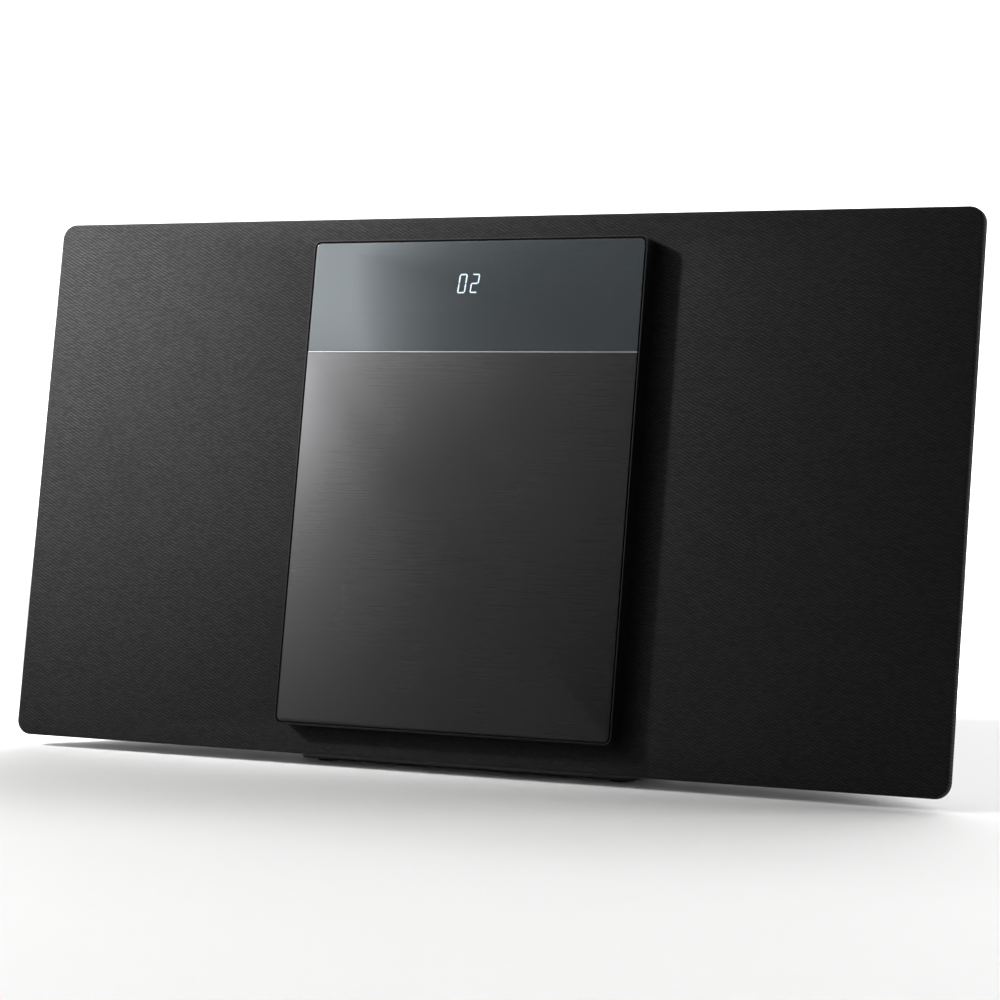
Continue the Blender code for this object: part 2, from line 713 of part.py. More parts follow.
def make_door(door, plastic, steel, smoke, screen, brass):
    front = -DOOR_PROUD
    rings = [
        door_ring(0, DOOR_BACK),
        door_ring(0, front + DOOR_EDGE),
        door_ring(DOOR_EDGE, front),
        door_ring(DOOR_RIM, front),
        door_ring(DOOR_RIM, WEB_FRONT),
        display_ring(0, WEB_FRONT),
        display_ring(0, WEB_BACK),
        door_ring(DOOR_WALL, WEB_BACK),
        door_ring(DOOR_WALL, DOOR_BACK),
    ]
    make_object("door_frame", loft(rings, closed=True), plastic, door)
    for name, low, high, material in (
        ("door_panel", PLATE_BOTTOM, WINDOW_BOTTOM - PANEL_GAP, steel),
        ("door_window", WINDOW_BOTTOM, PLATE_TOP, smoke),
    ):
        edged = (PLATE_HALF - PLATE_EDGE, low + PLATE_EDGE, high - PLATE_EDGE)
        plate = [
            rect_ring(PLATE_HALF, low, high, PLATE_CORNER, PLATE_BACK),
            rect_ring(PLATE_HALF, low, high, PLATE_CORNER, front + PLATE_EDGE),
            rect_ring(*edged, PLATE_CORNER - PLATE_EDGE, front),
        ]
        make_object(name, loft(plate), material, door)
    module_front = WEB_BACK + FIT_GAP
    module = [display_ring(DISPLAY_BORDER, module_front + step) for step in (0, DISPLAY_DEPTH)]
    make_object("display_module", loft(module), screen, door)
    rack_depth = (module_front, PINION_FRONT + GEAR_WIDTH + FIT_GAP)
    make_object("door_rack", prism(rack_outline(), rack_depth), plastic, door)
    left = -OPENING_HALF + SLIDER_STOP
    for name, rail in (("door_slider_upper", RAIL_HIGH), ("door_slider_lower", RAIL_LOW)):
        sides = (left, left + SLIDER_WIDTH)
        depth = (module_front, RAIL_DEPTH + 2 * RAIL_RADIUS)
        slider = make_object(name, box(sides, depth, about(rail, SLIDER_HEIGHT / 2)), brass, door)
        bore = along_x(rod(RAIL_RADIUS + RUN_GAP, left - BOSS, left + SLIDER_WIDTH + BOSS))
        cut(slider, [moved(bore, 0, RAIL_DEPTH, rail)], door)


def make_door_rails(tilt, steel):
    for name, rail in (("door_rail_upper", RAIL_HIGH), ("door_rail_lower", RAIL_LOW)):
        shape = moved(along_x(rod(RAIL_RADIUS, -RAIL_HALF, RAIL_HALF)), 0, RAIL_DEPTH, rail)
        make_object(name, shape, steel, tilt)


def make_door_drive(tilt, nylon, steel):
    """The pinion and big gear on one shaft, the motor's gear, and the motor."""
    down = -math.pi / 2
    pivot = make_empty("door_drive_axis", tilt, (PINION_X, 0, PINION_Z))
    shaft_ends = (PINION_FRONT - FIT_GAP, DRIVE_BACK + SHAFT_TAIL)
    train = make_object("door_drive_gear", rod(SHAFT_RADIUS, *shaft_ends), nylon, pivot)
    pinion = prism(gear_outline(PINION_TEETH, down), (PINION_FRONT, PINION_FRONT + GEAR_WIDTH))
    big = prism(gear_outline(DRIVE_TEETH, MOTOR_GEAR_ANGLE), (DRIVE_FRONT, DRIVE_BACK))
    join(train, [merge([pinion, big])], pivot)
    motor_pivot = make_empty("door_motor_axis", tilt, (MOTOR_X, 0, MOTOR_Z))
    facing = MOTOR_GEAR_ANGLE + math.pi + math.pi / MOTOR_TEETH
    small = prism(gear_outline(MOTOR_TEETH, facing), (DRIVE_FRONT, DRIVE_BACK))
    motor_front = DRIVE_BACK + 3 * FIT_GAP
    motor_gear = make_object("door_motor_gear", small, nylon, motor_pivot)
    shaft = rod(MOTOR_SHAFT, DRIVE_FRONT + BORE_AIR, motor_front + MOTOR_GRIP, 16)
    join(motor_gear, [shaft], motor_pivot)
    motor_back = motor_front + DOOR_MOTOR_LENGTH
    profile = [
        (MOTOR_SHAFT + RUN_GAP, motor_front + MOTOR_GRIP + BORE_AIR),
        (MOTOR_SHAFT + RUN_GAP, motor_front),
        (DOOR_MOTOR_RADIUS - MOTOR_CHAMFER, motor_front),
        (DOOR_MOTOR_RADIUS, motor_front + MOTOR_CHAMFER),
        (DOOR_MOTOR_RADIUS, motor_back),
    ]
    make_object("door_motor", turned(profile), steel, tilt, (MOTOR_X, 0, MOTOR_Z))


# CD deck


def make_deck_plates(tilt, plastic):
    """The bezel that shows when the door is open, and the dish that the disc lies in."""
    steps = 8
    side = OPENING_HALF - BEZEL_SIDE
    bezel_rings = [
        rect_ring(side, BEZEL_BOTTOM, BEZEL_TOP, BEZEL_CORNER, BEZEL_BACK, steps),
        rect_ring(side, BEZEL_BOTTOM, BEZEL_TOP, BEZEL_CORNER, BEZEL_FRONT, steps),
        circle_ring(WELL_RADIUS, BEZEL_FRONT, WELL_X, WELL_Z, steps),
        circle_ring(WELL_RADIUS, BEZEL_BACK, WELL_X, WELL_Z, steps),
    ]
    bezel = make_object("deck_bezel", loft(bezel_rings, closed=True), plastic, tilt)
    shaft_hole = moved(rod(SHAFT_RADIUS + RUN_GAP, 0, BEZEL_BACK + BEZEL_FRONT), PINION_X, 0, PINION_Z)
    cut(bezel, [shaft_hole], tilt)

    outside = WELL_RADIUS + WELL_WALL
    lip = OPENING_HALF + FLANGE_LIP
    flange = [
        rect_ring(lip, BEZEL_BOTTOM + BEZEL_SIDE, BEZEL_TOP - BEZEL_SIDE, FLANGE_CORNER, y, steps)
        for y in (FLANGE_FRONT, FLANGE_BACK)
    ]
    rings = [
        circle_ring(WELL_RADIUS, WELL_FLOOR, WELL_X, WELL_Z, steps),
        circle_ring(WELL_RADIUS, BEZEL_BACK + FIT_GAP, WELL_X, WELL_Z, steps),
        circle_ring(outside, BEZEL_BACK + FIT_GAP, WELL_X, WELL_Z, steps),
        circle_ring(outside, FLANGE_FRONT, WELL_X, WELL_Z, steps),
        *flange,
        circle_ring(outside, FLANGE_BACK, WELL_X, WELL_Z, steps),
        circle_ring(outside, WELL_BACK, WELL_X, WELL_Z, steps),
    ]
    well = make_object("disc_well", loft(rings), plastic, tilt)
    posts = []
    post_depth = (FLANGE_BACK - WELL_SKIN / 2, DRIVE_BACK + 2 * FIT_GAP)
    for turn in (math.pi / 2, -math.pi / 4):
        x = MOTOR_X + MOTOR_POST_AT * math.cos(turn)
        z = MOTOR_Z + MOTOR_POST_AT * math.sin(turn)
        posts.append(box(about(x, MOTOR_POST_HALF), post_depth, about(z, MOTOR_POST_HALF)))
    join(well, [merge(posts)], tilt)
    through = (WELL_FLOOR - WELL_SKIN, WELL_BACK + WELL_SKIN)
    slot = LENS_TURRET + 2 * FIT_GAP
    shaft_hole = rod(SHAFT_RADIUS + RUN_GAP, FLANGE_FRONT - WELL_SKIN, FLANGE_BACK + WELL_SKIN)
    holes = [
        moved(rod(HUB_RADIUS + HUB_AIR, *through, 32), WELL_X, 0, WELL_Z),
        box((LENS_X - slot, LENS_X + LENS_TRAVEL + slot), through, about(WELL_Z, slot)),
        moved(shaft_hole, PINION_X, 0, PINION_Z),
    ]
    cut(well, [merge(holes)], tilt)


def make_traverse(tilt, plate_steel, steel, plastic, glass):
    """The plate behind the dish with the pickup, its rod, screw and motor."""
    rods = (WELL_Z + ROD_OFFSET, WELL_Z - ROD_OFFSET)
    plate = box(
        (WELL_X - CHASSIS_LEFT, ROD_TO + HOLDER),
        (CHASSIS_FRONT, CHASSIS_FRONT + CHASSIS),
        about(WELL_Z, ROD_OFFSET + CHASSIS_RIM),
    )
    chassis = make_object("traverse_chassis", plate, plate_steel, tilt)
    holders = []
    bores = []
    for z in rods:
        for x in (ROD_FROM - HOLDER, ROD_TO):
            depth = (WELL_BACK + FIT_GAP, CHASSIS_FRONT + CHASSIS / 2)
            holders.append(box((x, x + HOLDER), depth, about(z, HOLDER_HALF)))
        bore = along_x(rod(ROD_RADIUS + RUN_GAP, ROD_FROM - 2 * HOLDER, ROD_TO + 2 * HOLDER))
        bores.append(moved(bore, 0, ROD_DEPTH, z))
    join(chassis, [merge(holders)], tilt)
    cut(chassis, [merge(bores)], tilt)

    rod_ends = (ROD_FROM - HOLDER + FIT_GAP, ROD_TO + HOLDER - FIT_GAP)
    guide = moved(along_x(rod(ROD_RADIUS, *rod_ends)), 0, ROD_DEPTH, rods[0])
    make_object("sled_guide_rod", guide, steel, tilt)

    motor_from = ROD_TO + HOLDER + FIT_GAP
    screw_axis = make_empty("lead_screw_axis", tilt, (0, ROD_DEPTH, rods[1]))
    rings = []
    start, end = rod_ends[0], motor_from + SCREW_TAIL
    count = int((end - start) / SCREW_PITCH * 4)
    for i in range(count + 1):
        x = start + (end - start) * i / count
        turn = 2 * math.pi * x / SCREW_PITCH
        y, z = SCREW_EDGE * math.cos(turn), SCREW_EDGE * math.sin(turn)
        radius = ROD_RADIUS - SCREW_EDGE
        corners = [2 * math.pi * k / 6 for k in range(6)]
        rings.append([(x, y + radius * math.cos(a), z + radius * math.sin(a)) for a in corners])
    make_object("lead_screw", loft(rings), steel, screw_axis)

    motor_profile = [
        (ROD_RADIUS + RUN_GAP, motor_from + SLED_MOTOR_BORE),
        (ROD_RADIUS + RUN_GAP, motor_from),
        (SLED_MOTOR_RADIUS, motor_from),
        (SLED_MOTOR_RADIUS, motor_from + SLED_MOTOR_LENGTH),
    ]
    motor = moved(along_x(turned(motor_profile)), 0, ROD_DEPTH, rods[1])
    make_object("sled_motor", motor, steel, tilt)

    sled_at = (LENS_X, 0, WELL_Z)
    sled_front = WELL_BACK + SLED_AIR
    block = box(about(0, SLED_HALF), (sled_front, CHASSIS_FRONT - 2 * FIT_GAP), about(0, SLED_HEIGHT))
    sled = make_object("pickup_sled", block, plastic, tilt, sled_at)
    turret_front = WELL_FLOOR - TURRET_RISE
    turret = moved(rod(LENS_TURRET, turret_front, sled_front + WELL_SKIN), LENS_X, 0, WELL_Z)
    join(sled, [turret], tilt)
    guides = []
    for z, radius in ((rods[0], ROD_RADIUS + RUN_GAP), (rods[1], ROD_RADIUS + FIT_GAP)):
        bore = along_x(rod(radius, LENS_X - 2 * SLED_HALF, LENS_X + 2 * SLED_HALF))
        guides.append(moved(bore, 0, ROD_DEPTH, z))
    cut(sled, [merge(guides)], tilt)
    lens_back = turret_front - FIT_GAP
    lens = [
        (LENS_RADIUS * 0.6, lens_back - LENS_HEIGHT),
        (LENS_RADIUS, lens_back - LENS_HEIGHT / 2),
        (LENS_RADIUS, lens_back),
    ]
    make_object("pickup_lens", turned(lens, 16), glass, tilt, sled_at)


def make_spindle(tilt, plastic, steel):
    at = (WELL_X, 0, WELL_Z)
    motor_front = WELL_BACK + FIT_GAP
    profile = [
        (MOTOR_SHAFT + RUN_GAP, motor_front + SPINDLE_BORE),
        (MOTOR_SHAFT + RUN_GAP, motor_front),
        (SPINDLE_RADIUS, motor_front),
        (SPINDLE_RADIUS, CHASSIS_FRONT - FIT_GAP),
    ]
    make_object("spindle_motor", turned(profile), steel, tilt, at)
    nose = DISC_SEAT - HUB_RISE
    hub = [
        (NOSE_TIP, nose),
        (HUB_NOSE - NOSE_CHAMFER, nose + NOSE_CROWN),
        (HUB_NOSE, nose + 3 * NOSE_CROWN),
        (HUB_NOSE, DISC_SEAT),
        (HUB_RADIUS, DISC_SEAT),
        (HUB_RADIUS, DISC_SEAT + HUB_FLANGE),
        (MOTOR_SHAFT, DISC_SEAT + HUB_FLANGE),
        (MOTOR_SHAFT, motor_front + SPINDLE_BORE - BORE_AIR),
    ]
    made = make_object("disc_hub", turned(hub), plastic, tilt, at)
    notches = []
    for number in range(3):
        across = (HUB_NOSE - HUB_NOTCH, HUB_RADIUS)
        notch = box(across, (0, DISC_SEAT - HUB_FLANGE / 2), about(0, HUB_NOTCH / 2))
        turn = Matrix.Rotation(2 * math.pi * number / 3, 3, "Y")
        bmesh.ops.rotate(notch, verts=notch.verts, cent=(0, 0, 0), matrix=turn)
        notches.append(moved(notch, WELL_X, 0, WELL_Z))
    cut(made, [merge(notches)], tilt)


# Speakers


def make_speaker(tilt, side, at, steel, paper, rubber, magnet):
    """A driver with a basket, magnet, surround and moving cone."""
    x, z = at
    front = BASKET_FRONT
    wall = BASKET_WALL
    neck = COIL_RADIUS + MAGNET_NECK
    seat = BASKET_RADIUS - BASKET_SEAT
    basket = [
        (BASKET_RADIUS, front),
        (BASKET_RADIUS, front + BASKET_RIM),
        (seat + 2 * wall, front + BASKET_RIM),
        (MAGNET_RADIUS, BASKET_BACK),
        (neck, BASKET_BACK),
        (neck, BASKET_BACK - wall),
        (MAGNET_RADIUS - wall, BASKET_BACK - wall),
        (seat, front + SURROUND_SEAT),
        (seat, front),
    ]
    frame = make_object(f"{side}_speaker_basket", turned(basket, closed=True), steel, tilt, (x, 0, z))
    for number in range(3):
        reach = 2 * BASKET_RADIUS
        depth = (front + BASKET_WINDOW_HALF, BASKET_BACK - BASKET_WINDOW_END)
        window = box((-reach, reach), depth, about(0, BASKET_WINDOW_HALF))
        turn = Matrix.Rotation(math.pi * number / 3, 3, "Y")
        bmesh.ops.rotate(window, verts=window.verts, cent=(0, 0, 0), matrix=turn)
        cut(frame, [moved(window, x, 0, z)], tilt)

    back = BASKET_BACK + FIT_GAP
    pole = COIL_RADIUS - POLE_GAP
    gap_outside = COIL_RADIUS + COIL_GAP
    gap_end = back + COIL_SLOT
    body = [
        (pole, back),
        (pole, gap_end),
        (gap_outside, gap_end),
        (gap_outside, back),
        (MAGNET_RADIUS, back),
        (MAGNET_RADIUS, back + MAGNET_LENGTH),
    ]
    make_object(f"{side}_speaker_magnet", turned(body), magnet, tilt, (x, 0, z))

    roll = SURROUND_ROLL
    middle = seat - FIT_GAP - roll
    lip = front + SURROUND_LIP
    arc = []
    for radius, turns in ((roll, (180, 120, 60, 0)), (roll - SURROUND_SKIN, (0, 60, 120, 180))):
        for degrees in turns:
            angle = math.radians(degrees)
            arc.append((middle + radius * math.cos(angle), lip - radius * math.sin(angle)))
    make_object(f"{side}_speaker_surround", turned(arc, 20, closed=True), rubber, tilt, (x, 0, z))

    rim = middle - roll - FIT_GAP
    coil = COIL_RADIUS
    cone = [
        (CAP_TIP, front + CAP_DEPTH),
        (CAP_EDGE, front + CAP_DEPTH + CAP_RISE),
        (coil + CONE_LAP, front + CONE_NECK),
        (rim, lip - CONE_RIM),
        (rim, lip + CONE_LIP),
        (coil, front + CONE_NECK + CONE_SKIN),
        (coil, back + COIL_REACH),
        (coil - COIL_SKIN, back + COIL_REACH),
        (coil - COIL_SKIN, front + CAP_BACK),
        (CAP_EDGE - CAP_LAP, front + CAP_DEPTH + 2 * CAP_RISE),
        (CAP_TIP, front + CAP_DEPTH + CAP_SKIN),
    ]
    make_object(f"{side}_speaker_cone", turned(cone), paper, tilt, (x, 0, z))


# Control panel and buttons


def make_controls(tilt, plastic, board, cap):
    middle = (CONTROL_FRONT + CONTROL_BACK) / 2
    under = CONTROL_Z - CONTROL_TOP
    low = CONTROL_Z - CONTROL_HEIGHT

    def strip_ring(inset, z, radius):
        return rect_ring(CONTROL_HALF - inset, CONTROL_FRONT + inset, CONTROL_BACK - inset, radius, -z)

    rings = [
        strip_ring(CONTROL_WALL, under, CONTROL_INNER_CORNER),
        strip_ring(CONTROL_WALL, low, CONTROL_INNER_CORNER),
        strip_ring(0, low, CONTROL_CORNER),
        strip_ring(0, CONTROL_Z - CONTROL_EDGE, CONTROL_CORNER),
        strip_ring(CONTROL_EDGE, CONTROL_Z, CONTROL_CORNER - CONTROL_EDGE),
    ]
    panel = make_object("control_panel", upward(loft(rings)), plastic, tilt)
    half_x, half_y = BUTTON_HALF
    places = [(number - (len(BUTTONS) - 1) / 2) * BUTTON_PITCH for number in range(len(BUTTONS))]
    holes = []
    for x in places:
        reach = half_y + FIT_GAP
        sides = (half_x + FIT_GAP, middle - reach, middle + reach, BUTTON_CORNER + FIT_GAP)
        ends = (-CONTROL_Z - CONTROL_TOP / 2, -under + CONTROL_TOP / 2)
        holes.append(upward(loft([rect_ring(*sides, y, 2, x) for y in ends])))
    cut(panel, [merge(holes)], tilt)

    edge = CONTROL_WALL + 2 * FIT_GAP
    reach = CONTROL_HALF - edge
    depth = (CONTROL_FRONT + edge, CONTROL_BACK - edge)
    make_object("button_board", box(about(0, reach), depth, (BOARD_TOP - BOARD, BOARD_TOP)), board, tilt)

    stem = BUTTON_STEM
    flange_top = under - FIT_GAP
    flange_low = flange_top - BUTTON_FLANGE
    crown = CONTROL_Z + BUTTON_RISE
    levels = [
        (stem, stem, STEM_CORNER, BOARD_TOP + BUTTON_TRAVEL + FIT_GAP),
        (stem, stem, STEM_CORNER, flange_low),
        (half_x + BUTTON_LIP, half_y + BUTTON_LIP, FLANGE_CORNER_RADIUS, flange_low),
        (half_x + BUTTON_LIP, half_y + BUTTON_LIP, FLANGE_CORNER_RADIUS, flange_top),
        (half_x, half_y, BUTTON_CORNER, flange_top),
        (half_x, half_y, BUTTON_CORNER, crown - BUTTON_EDGE),
        (half_x - BUTTON_EDGE, half_y - BUTTON_EDGE, BUTTON_CORNER - BUTTON_EDGE, crown),
    ]
    for name, x in zip(BUTTONS, places):
        rings = [rect_ring(a, -b, b, radius, -z, 2) for a, b, radius, z in levels]
        make_object(f"button_{name}", upward(loft(rings)), cap, tilt, (x, middle, 0))


# Boards and sockets


def make_boards(tilt, board, aluminium, steel):
    main_top = FACE_HEIGHT - MAIN_BOARD_TOP_MARGIN
    main_depth = (MAIN_BOARD_DEPTH, MAIN_BOARD_DEPTH + BOARD)
    main = box(about(0, MAIN_BOARD_HALF), main_depth, (MAIN_BOARD_BOTTOM, main_top))
    make_object("main_board", main, board, tilt)

    base = main_depth[1] + FIT_GAP
    pitch = 2 * HEAT_SINK_HALF / (2 * HEAT_SINK_FINS - 1)
    outline = [(-HEAT_SINK_HALF, base)]
    for fin in range(HEAT_SINK_FINS):
        left = -HEAT_SINK_HALF + 2 * fin * pitch
        outline += [(left, base + HEAT_SINK_DEPTH), (left + pitch, base + HEAT_SINK_DEPTH)]
        if fin < HEAT_SINK_FINS - 1:
            outline += [(left + pitch, base + HEAT_SINK_BASE), (left + 2 * pitch, base + HEAT_SINK_BASE)]
    outline.append((HEAT_SINK_HALF, base))
    top = main_top - 2 * BOSS
    sink = upward(prism(outline, (-top, HEAT_SINK_HEIGHT - top)))
    make_object("heat_sink", sink, aluminium, tilt)

    power_back = BACK + FIT_GAP - INLET_LENGTH - FIT_GAP
    low, high = POWER_BOARD_RISE
    power = box(POWER_BOARD_SIDES, (power_back - BOARD, power_back), (low, high))
    make_object("power_board", power, board, tilt)
    width, depth, height = TRANSFORMER_SIZE
    right = POWER_BOARD_SIDES[1] - TRANSFORMER_INSET
    front = power_back - BOARD - FIT_GAP
    rise = low + TRANSFORMER_RISE
    core = box((right - width, right), (front - depth, front), (rise, rise + height))
    make_object("power_transformer", core, steel, tilt)


def make_inlet(tilt, plastic):
    """A two-pin inlet: a flanged body with a deep mouth and two pins in it."""
    x, z = INLET_AT
    half_x, half_z = INLET_HALF
    end = BACK + FIT_GAP
    start = end - INLET_LENGTH
    flange = INLET_FLANGE
    levels = [(0, start, 1), (0, end, 1), (flange, end, 2), (flange, end + INLET_FLANGE_DEPTH, 2)]
    rings = [
        rect_ring(half_x + grow, z - half_z - grow, z + half_z + grow, radius * MM, y, 4, x)
        for grow, y, radius in levels
    ]
    body = make_object("power_inlet", loft(rings), plastic, tilt)
    mouth_x, mouth_z = INLET_MOUTH
    floor = start + INLET_BACK
    mouth = [
        rect_ring(mouth_x, z - mouth_z, z + mouth_z, mouth_z - INLET_MOUTH_FLAT, y, 4, x)
        for y in (floor, end + BOSS)
    ]
    cut(body, [loft(mouth)], tilt)
    pin_ends = (floor - INLET_BACK / 2, end - PIN_SHORT)
    pins = [moved(rod(PIN_RADIUS, *pin_ends, 12), x + shift, 0, z) for shift in (-PIN_OFFSET, PIN_OFFSET)]
    join(body, [merge(pins)], tilt)


def make_jack(name, at, tilt, material, barrel, flange, bore, reach):
    """A round socket: a barrel through the rear wall with a flange and a blind bore."""
    x, z = at
    end = BACK + FIT_GAP
    profile = [
        (barrel, end - JACK_LENGTH),
        (barrel, end),
        (flange, end),
        (flange, end + JACK_FLANGE),
        (barrel - JACK_STEP, end + JACK_FLANGE),
        (barrel - JACK_STEP, end + reach),
        (bore, end + reach),
        (bore, end - JACK_DEPTH),
    ]
    make_object(name, turned(profile, 18), material, tilt, (x, 0, z))


# Stand


def make_stand(tilt, steel, plastic, rubber, screw_steel):
    low = FOOT_HEIGHT + FIT_GAP
    high = low + BASE_THICKNESS
    front = FACE_Y + BASE_FRONT
    back = front + BASE_DEPTH

    def plate_ring(inset, z):
        return rect_ring(BASE_HALF - inset, front + inset, back - inset, BASE_CORNER - inset, -z)

    rings = [plate_ring(BASE_LOW_EDGE, low), plate_ring(0, low + BASE_LOW_EDGE)]
    rings += [plate_ring(0, high - BASE_HIGH_EDGE), plate_ring(BASE_HIGH_EDGE, high)]
    make_object("stand_base", upward(loft(rings)), steel)

    corners = {
        "front_left": (-1, front + FOOT_INSET),
        "front_right": (1, front + FOOT_INSET),
        "rear_left": (-1, back - FOOT_INSET),
        "rear_right": (1, back - FOOT_INSET),
    }
    for name, (side, y) in corners.items():
        foot = upward(turned([(FOOT_RADIUS, -FOOT_HEIGHT), (FOOT_RADIUS, 0)], 20))
        make_object(f"foot_{name}", foot, rubber, None, (side * (BASE_HALF - FOOT_INSET), y, 0))

    contact = BACK + FIT_GAP

    def on_back(rise):
        """The (y, z) in the world of a point that far up the plane of the cabinet's back."""
        y = FACE_Y + contact * math.cos(LEAN) + rise * math.sin(LEAN)
        return (y, FACE_RISE - contact * math.sin(LEAN) + rise * math.cos(LEAN))

    foot_z = high + FIT_GAP
    start = on_back(SHELL[-1][2] + NECK_START)
    top = on_back(NECK_TOP)
    heel = (FACE_Y + NECK_FOOT, foot_z)
    crest = (top[0] + NECK_CREST[0], top[1] - NECK_CREST[1])
    pull = (FACE_Y + NECK_PULL[0], NECK_PULL[1])
    outline = [(start[0] + 2 * FIT_GAP, foot_z), start, top]
    steps = 8
    for i in range(steps + 1):
        t = i / steps
        weights = ((1 - t) ** 2, 2 * t * (1 - t), t**2)
        outline.append(tuple(sum(w * p[k] for w, p in zip(weights, (crest, pull, heel))) for k in (0, 1)))
    neck_shape = loft([[(x, y, z) for y, z in outline] for x in about(0, NECK_HALF)])
    neck = make_object("stand_neck", neck_shape, plastic)
    seat = contact + NECK_WALL
    holes = []
    for x in (-NECK_SCREW_X, NECK_SCREW_X):
        stepped = [
            (SHAFT_RADIUS + FIT_GAP, contact - SCREW_HEAD),
            (SHAFT_RADIUS + FIT_GAP, seat),
            (SCREW_HEAD_RADIUS + SCREW_HEAD_AIR, seat),
            (SCREW_HEAD_RADIUS + SCREW_HEAD_AIR, seat + COUNTERBORE),
        ]
        holes.append(moved(turned(stepped, 16), x, 0, NECK_SCREW_Z))
    cut(neck, [merge(holes)], tilt)
    for side, x in (("left", -NECK_SCREW_X), ("right", NECK_SCREW_X)):
        head = seat + FIT_GAP
        ends = (BACK - SCREW_REACH, head + SCREW_HEAD)
        screw = [(SHAFT_RADIUS, ends[0]), (SHAFT_RADIUS, head)]
        screw += [(SCREW_HEAD_RADIUS, head), (SCREW_HEAD_RADIUS, ends[1])]
        make_object(f"stand_screw_{side}", turned(screw, 16), screw_steel, tilt, (x, 0, NECK_SCREW_Z))


def build():
    clear_scene()
    cloth = look("cloth", (0.055, 0.052, 0.055), 0.9)
    plastic = look("black_plastic", (0.022, 0.022, 0.024), 0.45)
    deck = look("deck_plastic", (0.03, 0.03, 0.033), 0.5)
    brushed = look("brushed_dark_metal", (0.09, 0.09, 0.095), 0.35, 0.9)
    smoke = look("smoked_window", (0.04, 0.045, 0.05), 0.08)
    screen = look("display_glass", (0.03, 0.035, 0.035), 0.2)
    nylon = look("white_nylon", (0.75, 0.74, 0.7), 0.5)
    steel = look("bright_steel", (0.6, 0.6, 0.62), 0.3, 1.0)
    plate = look("pressed_steel", (0.45, 0.45, 0.46), 0.4, 1.0)
    paint = look("stand_paint", (0.015, 0.015, 0.016), 0.4)
    aluminium = look("aluminium", (0.7, 0.7, 0.71), 0.4, 1.0)
    board = look("circuit_board", (0.02, 0.12, 0.05), 0.5)
    paper = look("cone_paper", (0.05, 0.05, 0.05), 0.8)
    rubber = look("rubber", (0.02, 0.02, 0.02), 0.85)
    magnet = look("ferrite", (0.09, 0.09, 0.09), 0.7)
    lens_glass = look("lens_glass", (0.25, 0.3, 0.5), 0.05)

    tilt = make_empty("leaning_frame", None, (0, FACE_Y, FACE_RISE))
    tilt.rotation_euler = (-LEAN, 0, 0)
    door = make_empty("door_slide", tilt)

    make_grille_cloth(tilt, cloth)
    make_grille_frame(tilt, plastic)
    make_front_baffle(tilt, plastic)
    make_rear_cabinet(tilt, plastic)
    make_door(door, plastic, brushed, smoke, screen, nylon)
    make_door_rails(tilt, steel)
    make_door_drive(tilt, nylon, steel)
    make_deck_plates(tilt, deck)
    make_traverse(tilt, plate, steel, deck, lens_glass)
    make_spindle(tilt, deck, steel)
    for side, x in (("left", -SPEAKER_X), ("right", SPEAKER_X)):
        make_speaker(tilt, side, (x, SPEAKER_Z), plate, paper, rubber, magnet)
    make_controls(tilt, plastic, board, plastic)
    make_boards(tilt, board, aluminium, steel)
    make_inlet(tilt, plastic)
    antenna = (JACK_RADIUS, ANTENNA_FLANGE, ANTENNA_BORE, ANTENNA_REACH)
    jack = (JACK_RADIUS, JACK_FLANGE_RADIUS, JACK_BORE, JACK_REACH)
    make_jack("antenna_socket", ANTENNA_AT, tilt, steel, *antenna)
    make_jack("aux_socket", AUX_AT, tilt, plastic, *jack)
    make_jack("headphone_socket", PHONES_AT, tilt, plastic, *jack)
    make_stand(tilt, paint, plastic, rubber, steel)
    bpy.context.view_layer.update()


build()
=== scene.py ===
"""Looks of the slim CD stereo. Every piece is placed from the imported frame: pieces of the housing and the
door are made in the leaning frame of the face, with x to the right, y into the housing from the cloth's
front and z up along the face."""

import json
import math

import bmesh
import bpy
from mathutils import Matrix, Vector


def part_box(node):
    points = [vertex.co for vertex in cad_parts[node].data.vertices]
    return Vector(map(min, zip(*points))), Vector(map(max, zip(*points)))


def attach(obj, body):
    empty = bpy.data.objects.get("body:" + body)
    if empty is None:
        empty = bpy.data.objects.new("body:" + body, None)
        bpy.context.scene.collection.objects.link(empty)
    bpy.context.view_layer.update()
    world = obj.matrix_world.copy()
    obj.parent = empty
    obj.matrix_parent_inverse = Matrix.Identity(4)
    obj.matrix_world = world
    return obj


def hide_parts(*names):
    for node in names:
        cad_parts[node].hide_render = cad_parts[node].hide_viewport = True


MM = 0.001

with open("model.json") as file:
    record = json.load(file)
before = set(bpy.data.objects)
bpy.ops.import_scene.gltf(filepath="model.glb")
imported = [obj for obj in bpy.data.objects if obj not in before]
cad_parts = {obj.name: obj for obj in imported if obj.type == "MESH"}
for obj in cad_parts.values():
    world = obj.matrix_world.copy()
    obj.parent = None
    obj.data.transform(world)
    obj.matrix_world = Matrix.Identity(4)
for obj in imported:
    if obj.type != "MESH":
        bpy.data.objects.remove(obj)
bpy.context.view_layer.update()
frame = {"nodes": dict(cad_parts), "record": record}

# The leaning frame: its y axis is the disc's axis turned inward, its origin the cloth's lower front edge
JOINTS = {joint["name"]: joint for joint in frame["record"]["behaviour"]["joints"]}
BACKWARD = -Vector(JOINTS["disc_spin"]["axis"]).normalized()
RIGHT = Vector((1, 0, 0))
UPWARD = RIGHT.cross(BACKWARD)
LEAN = Matrix((RIGHT, BACKWARD, UPWARD)).transposed()


def extent(node, origin=Vector((0, 0, 0))):
    """The node's lowest and highest corner along the leaning axes, from an origin."""
    points = [LEAN.transposed() @ (v.co - origin) for v in frame["nodes"][node].data.vertices]
    return [Vector([pick(p[k] for p in points) for k in range(3)]) for pick in (min, max)]


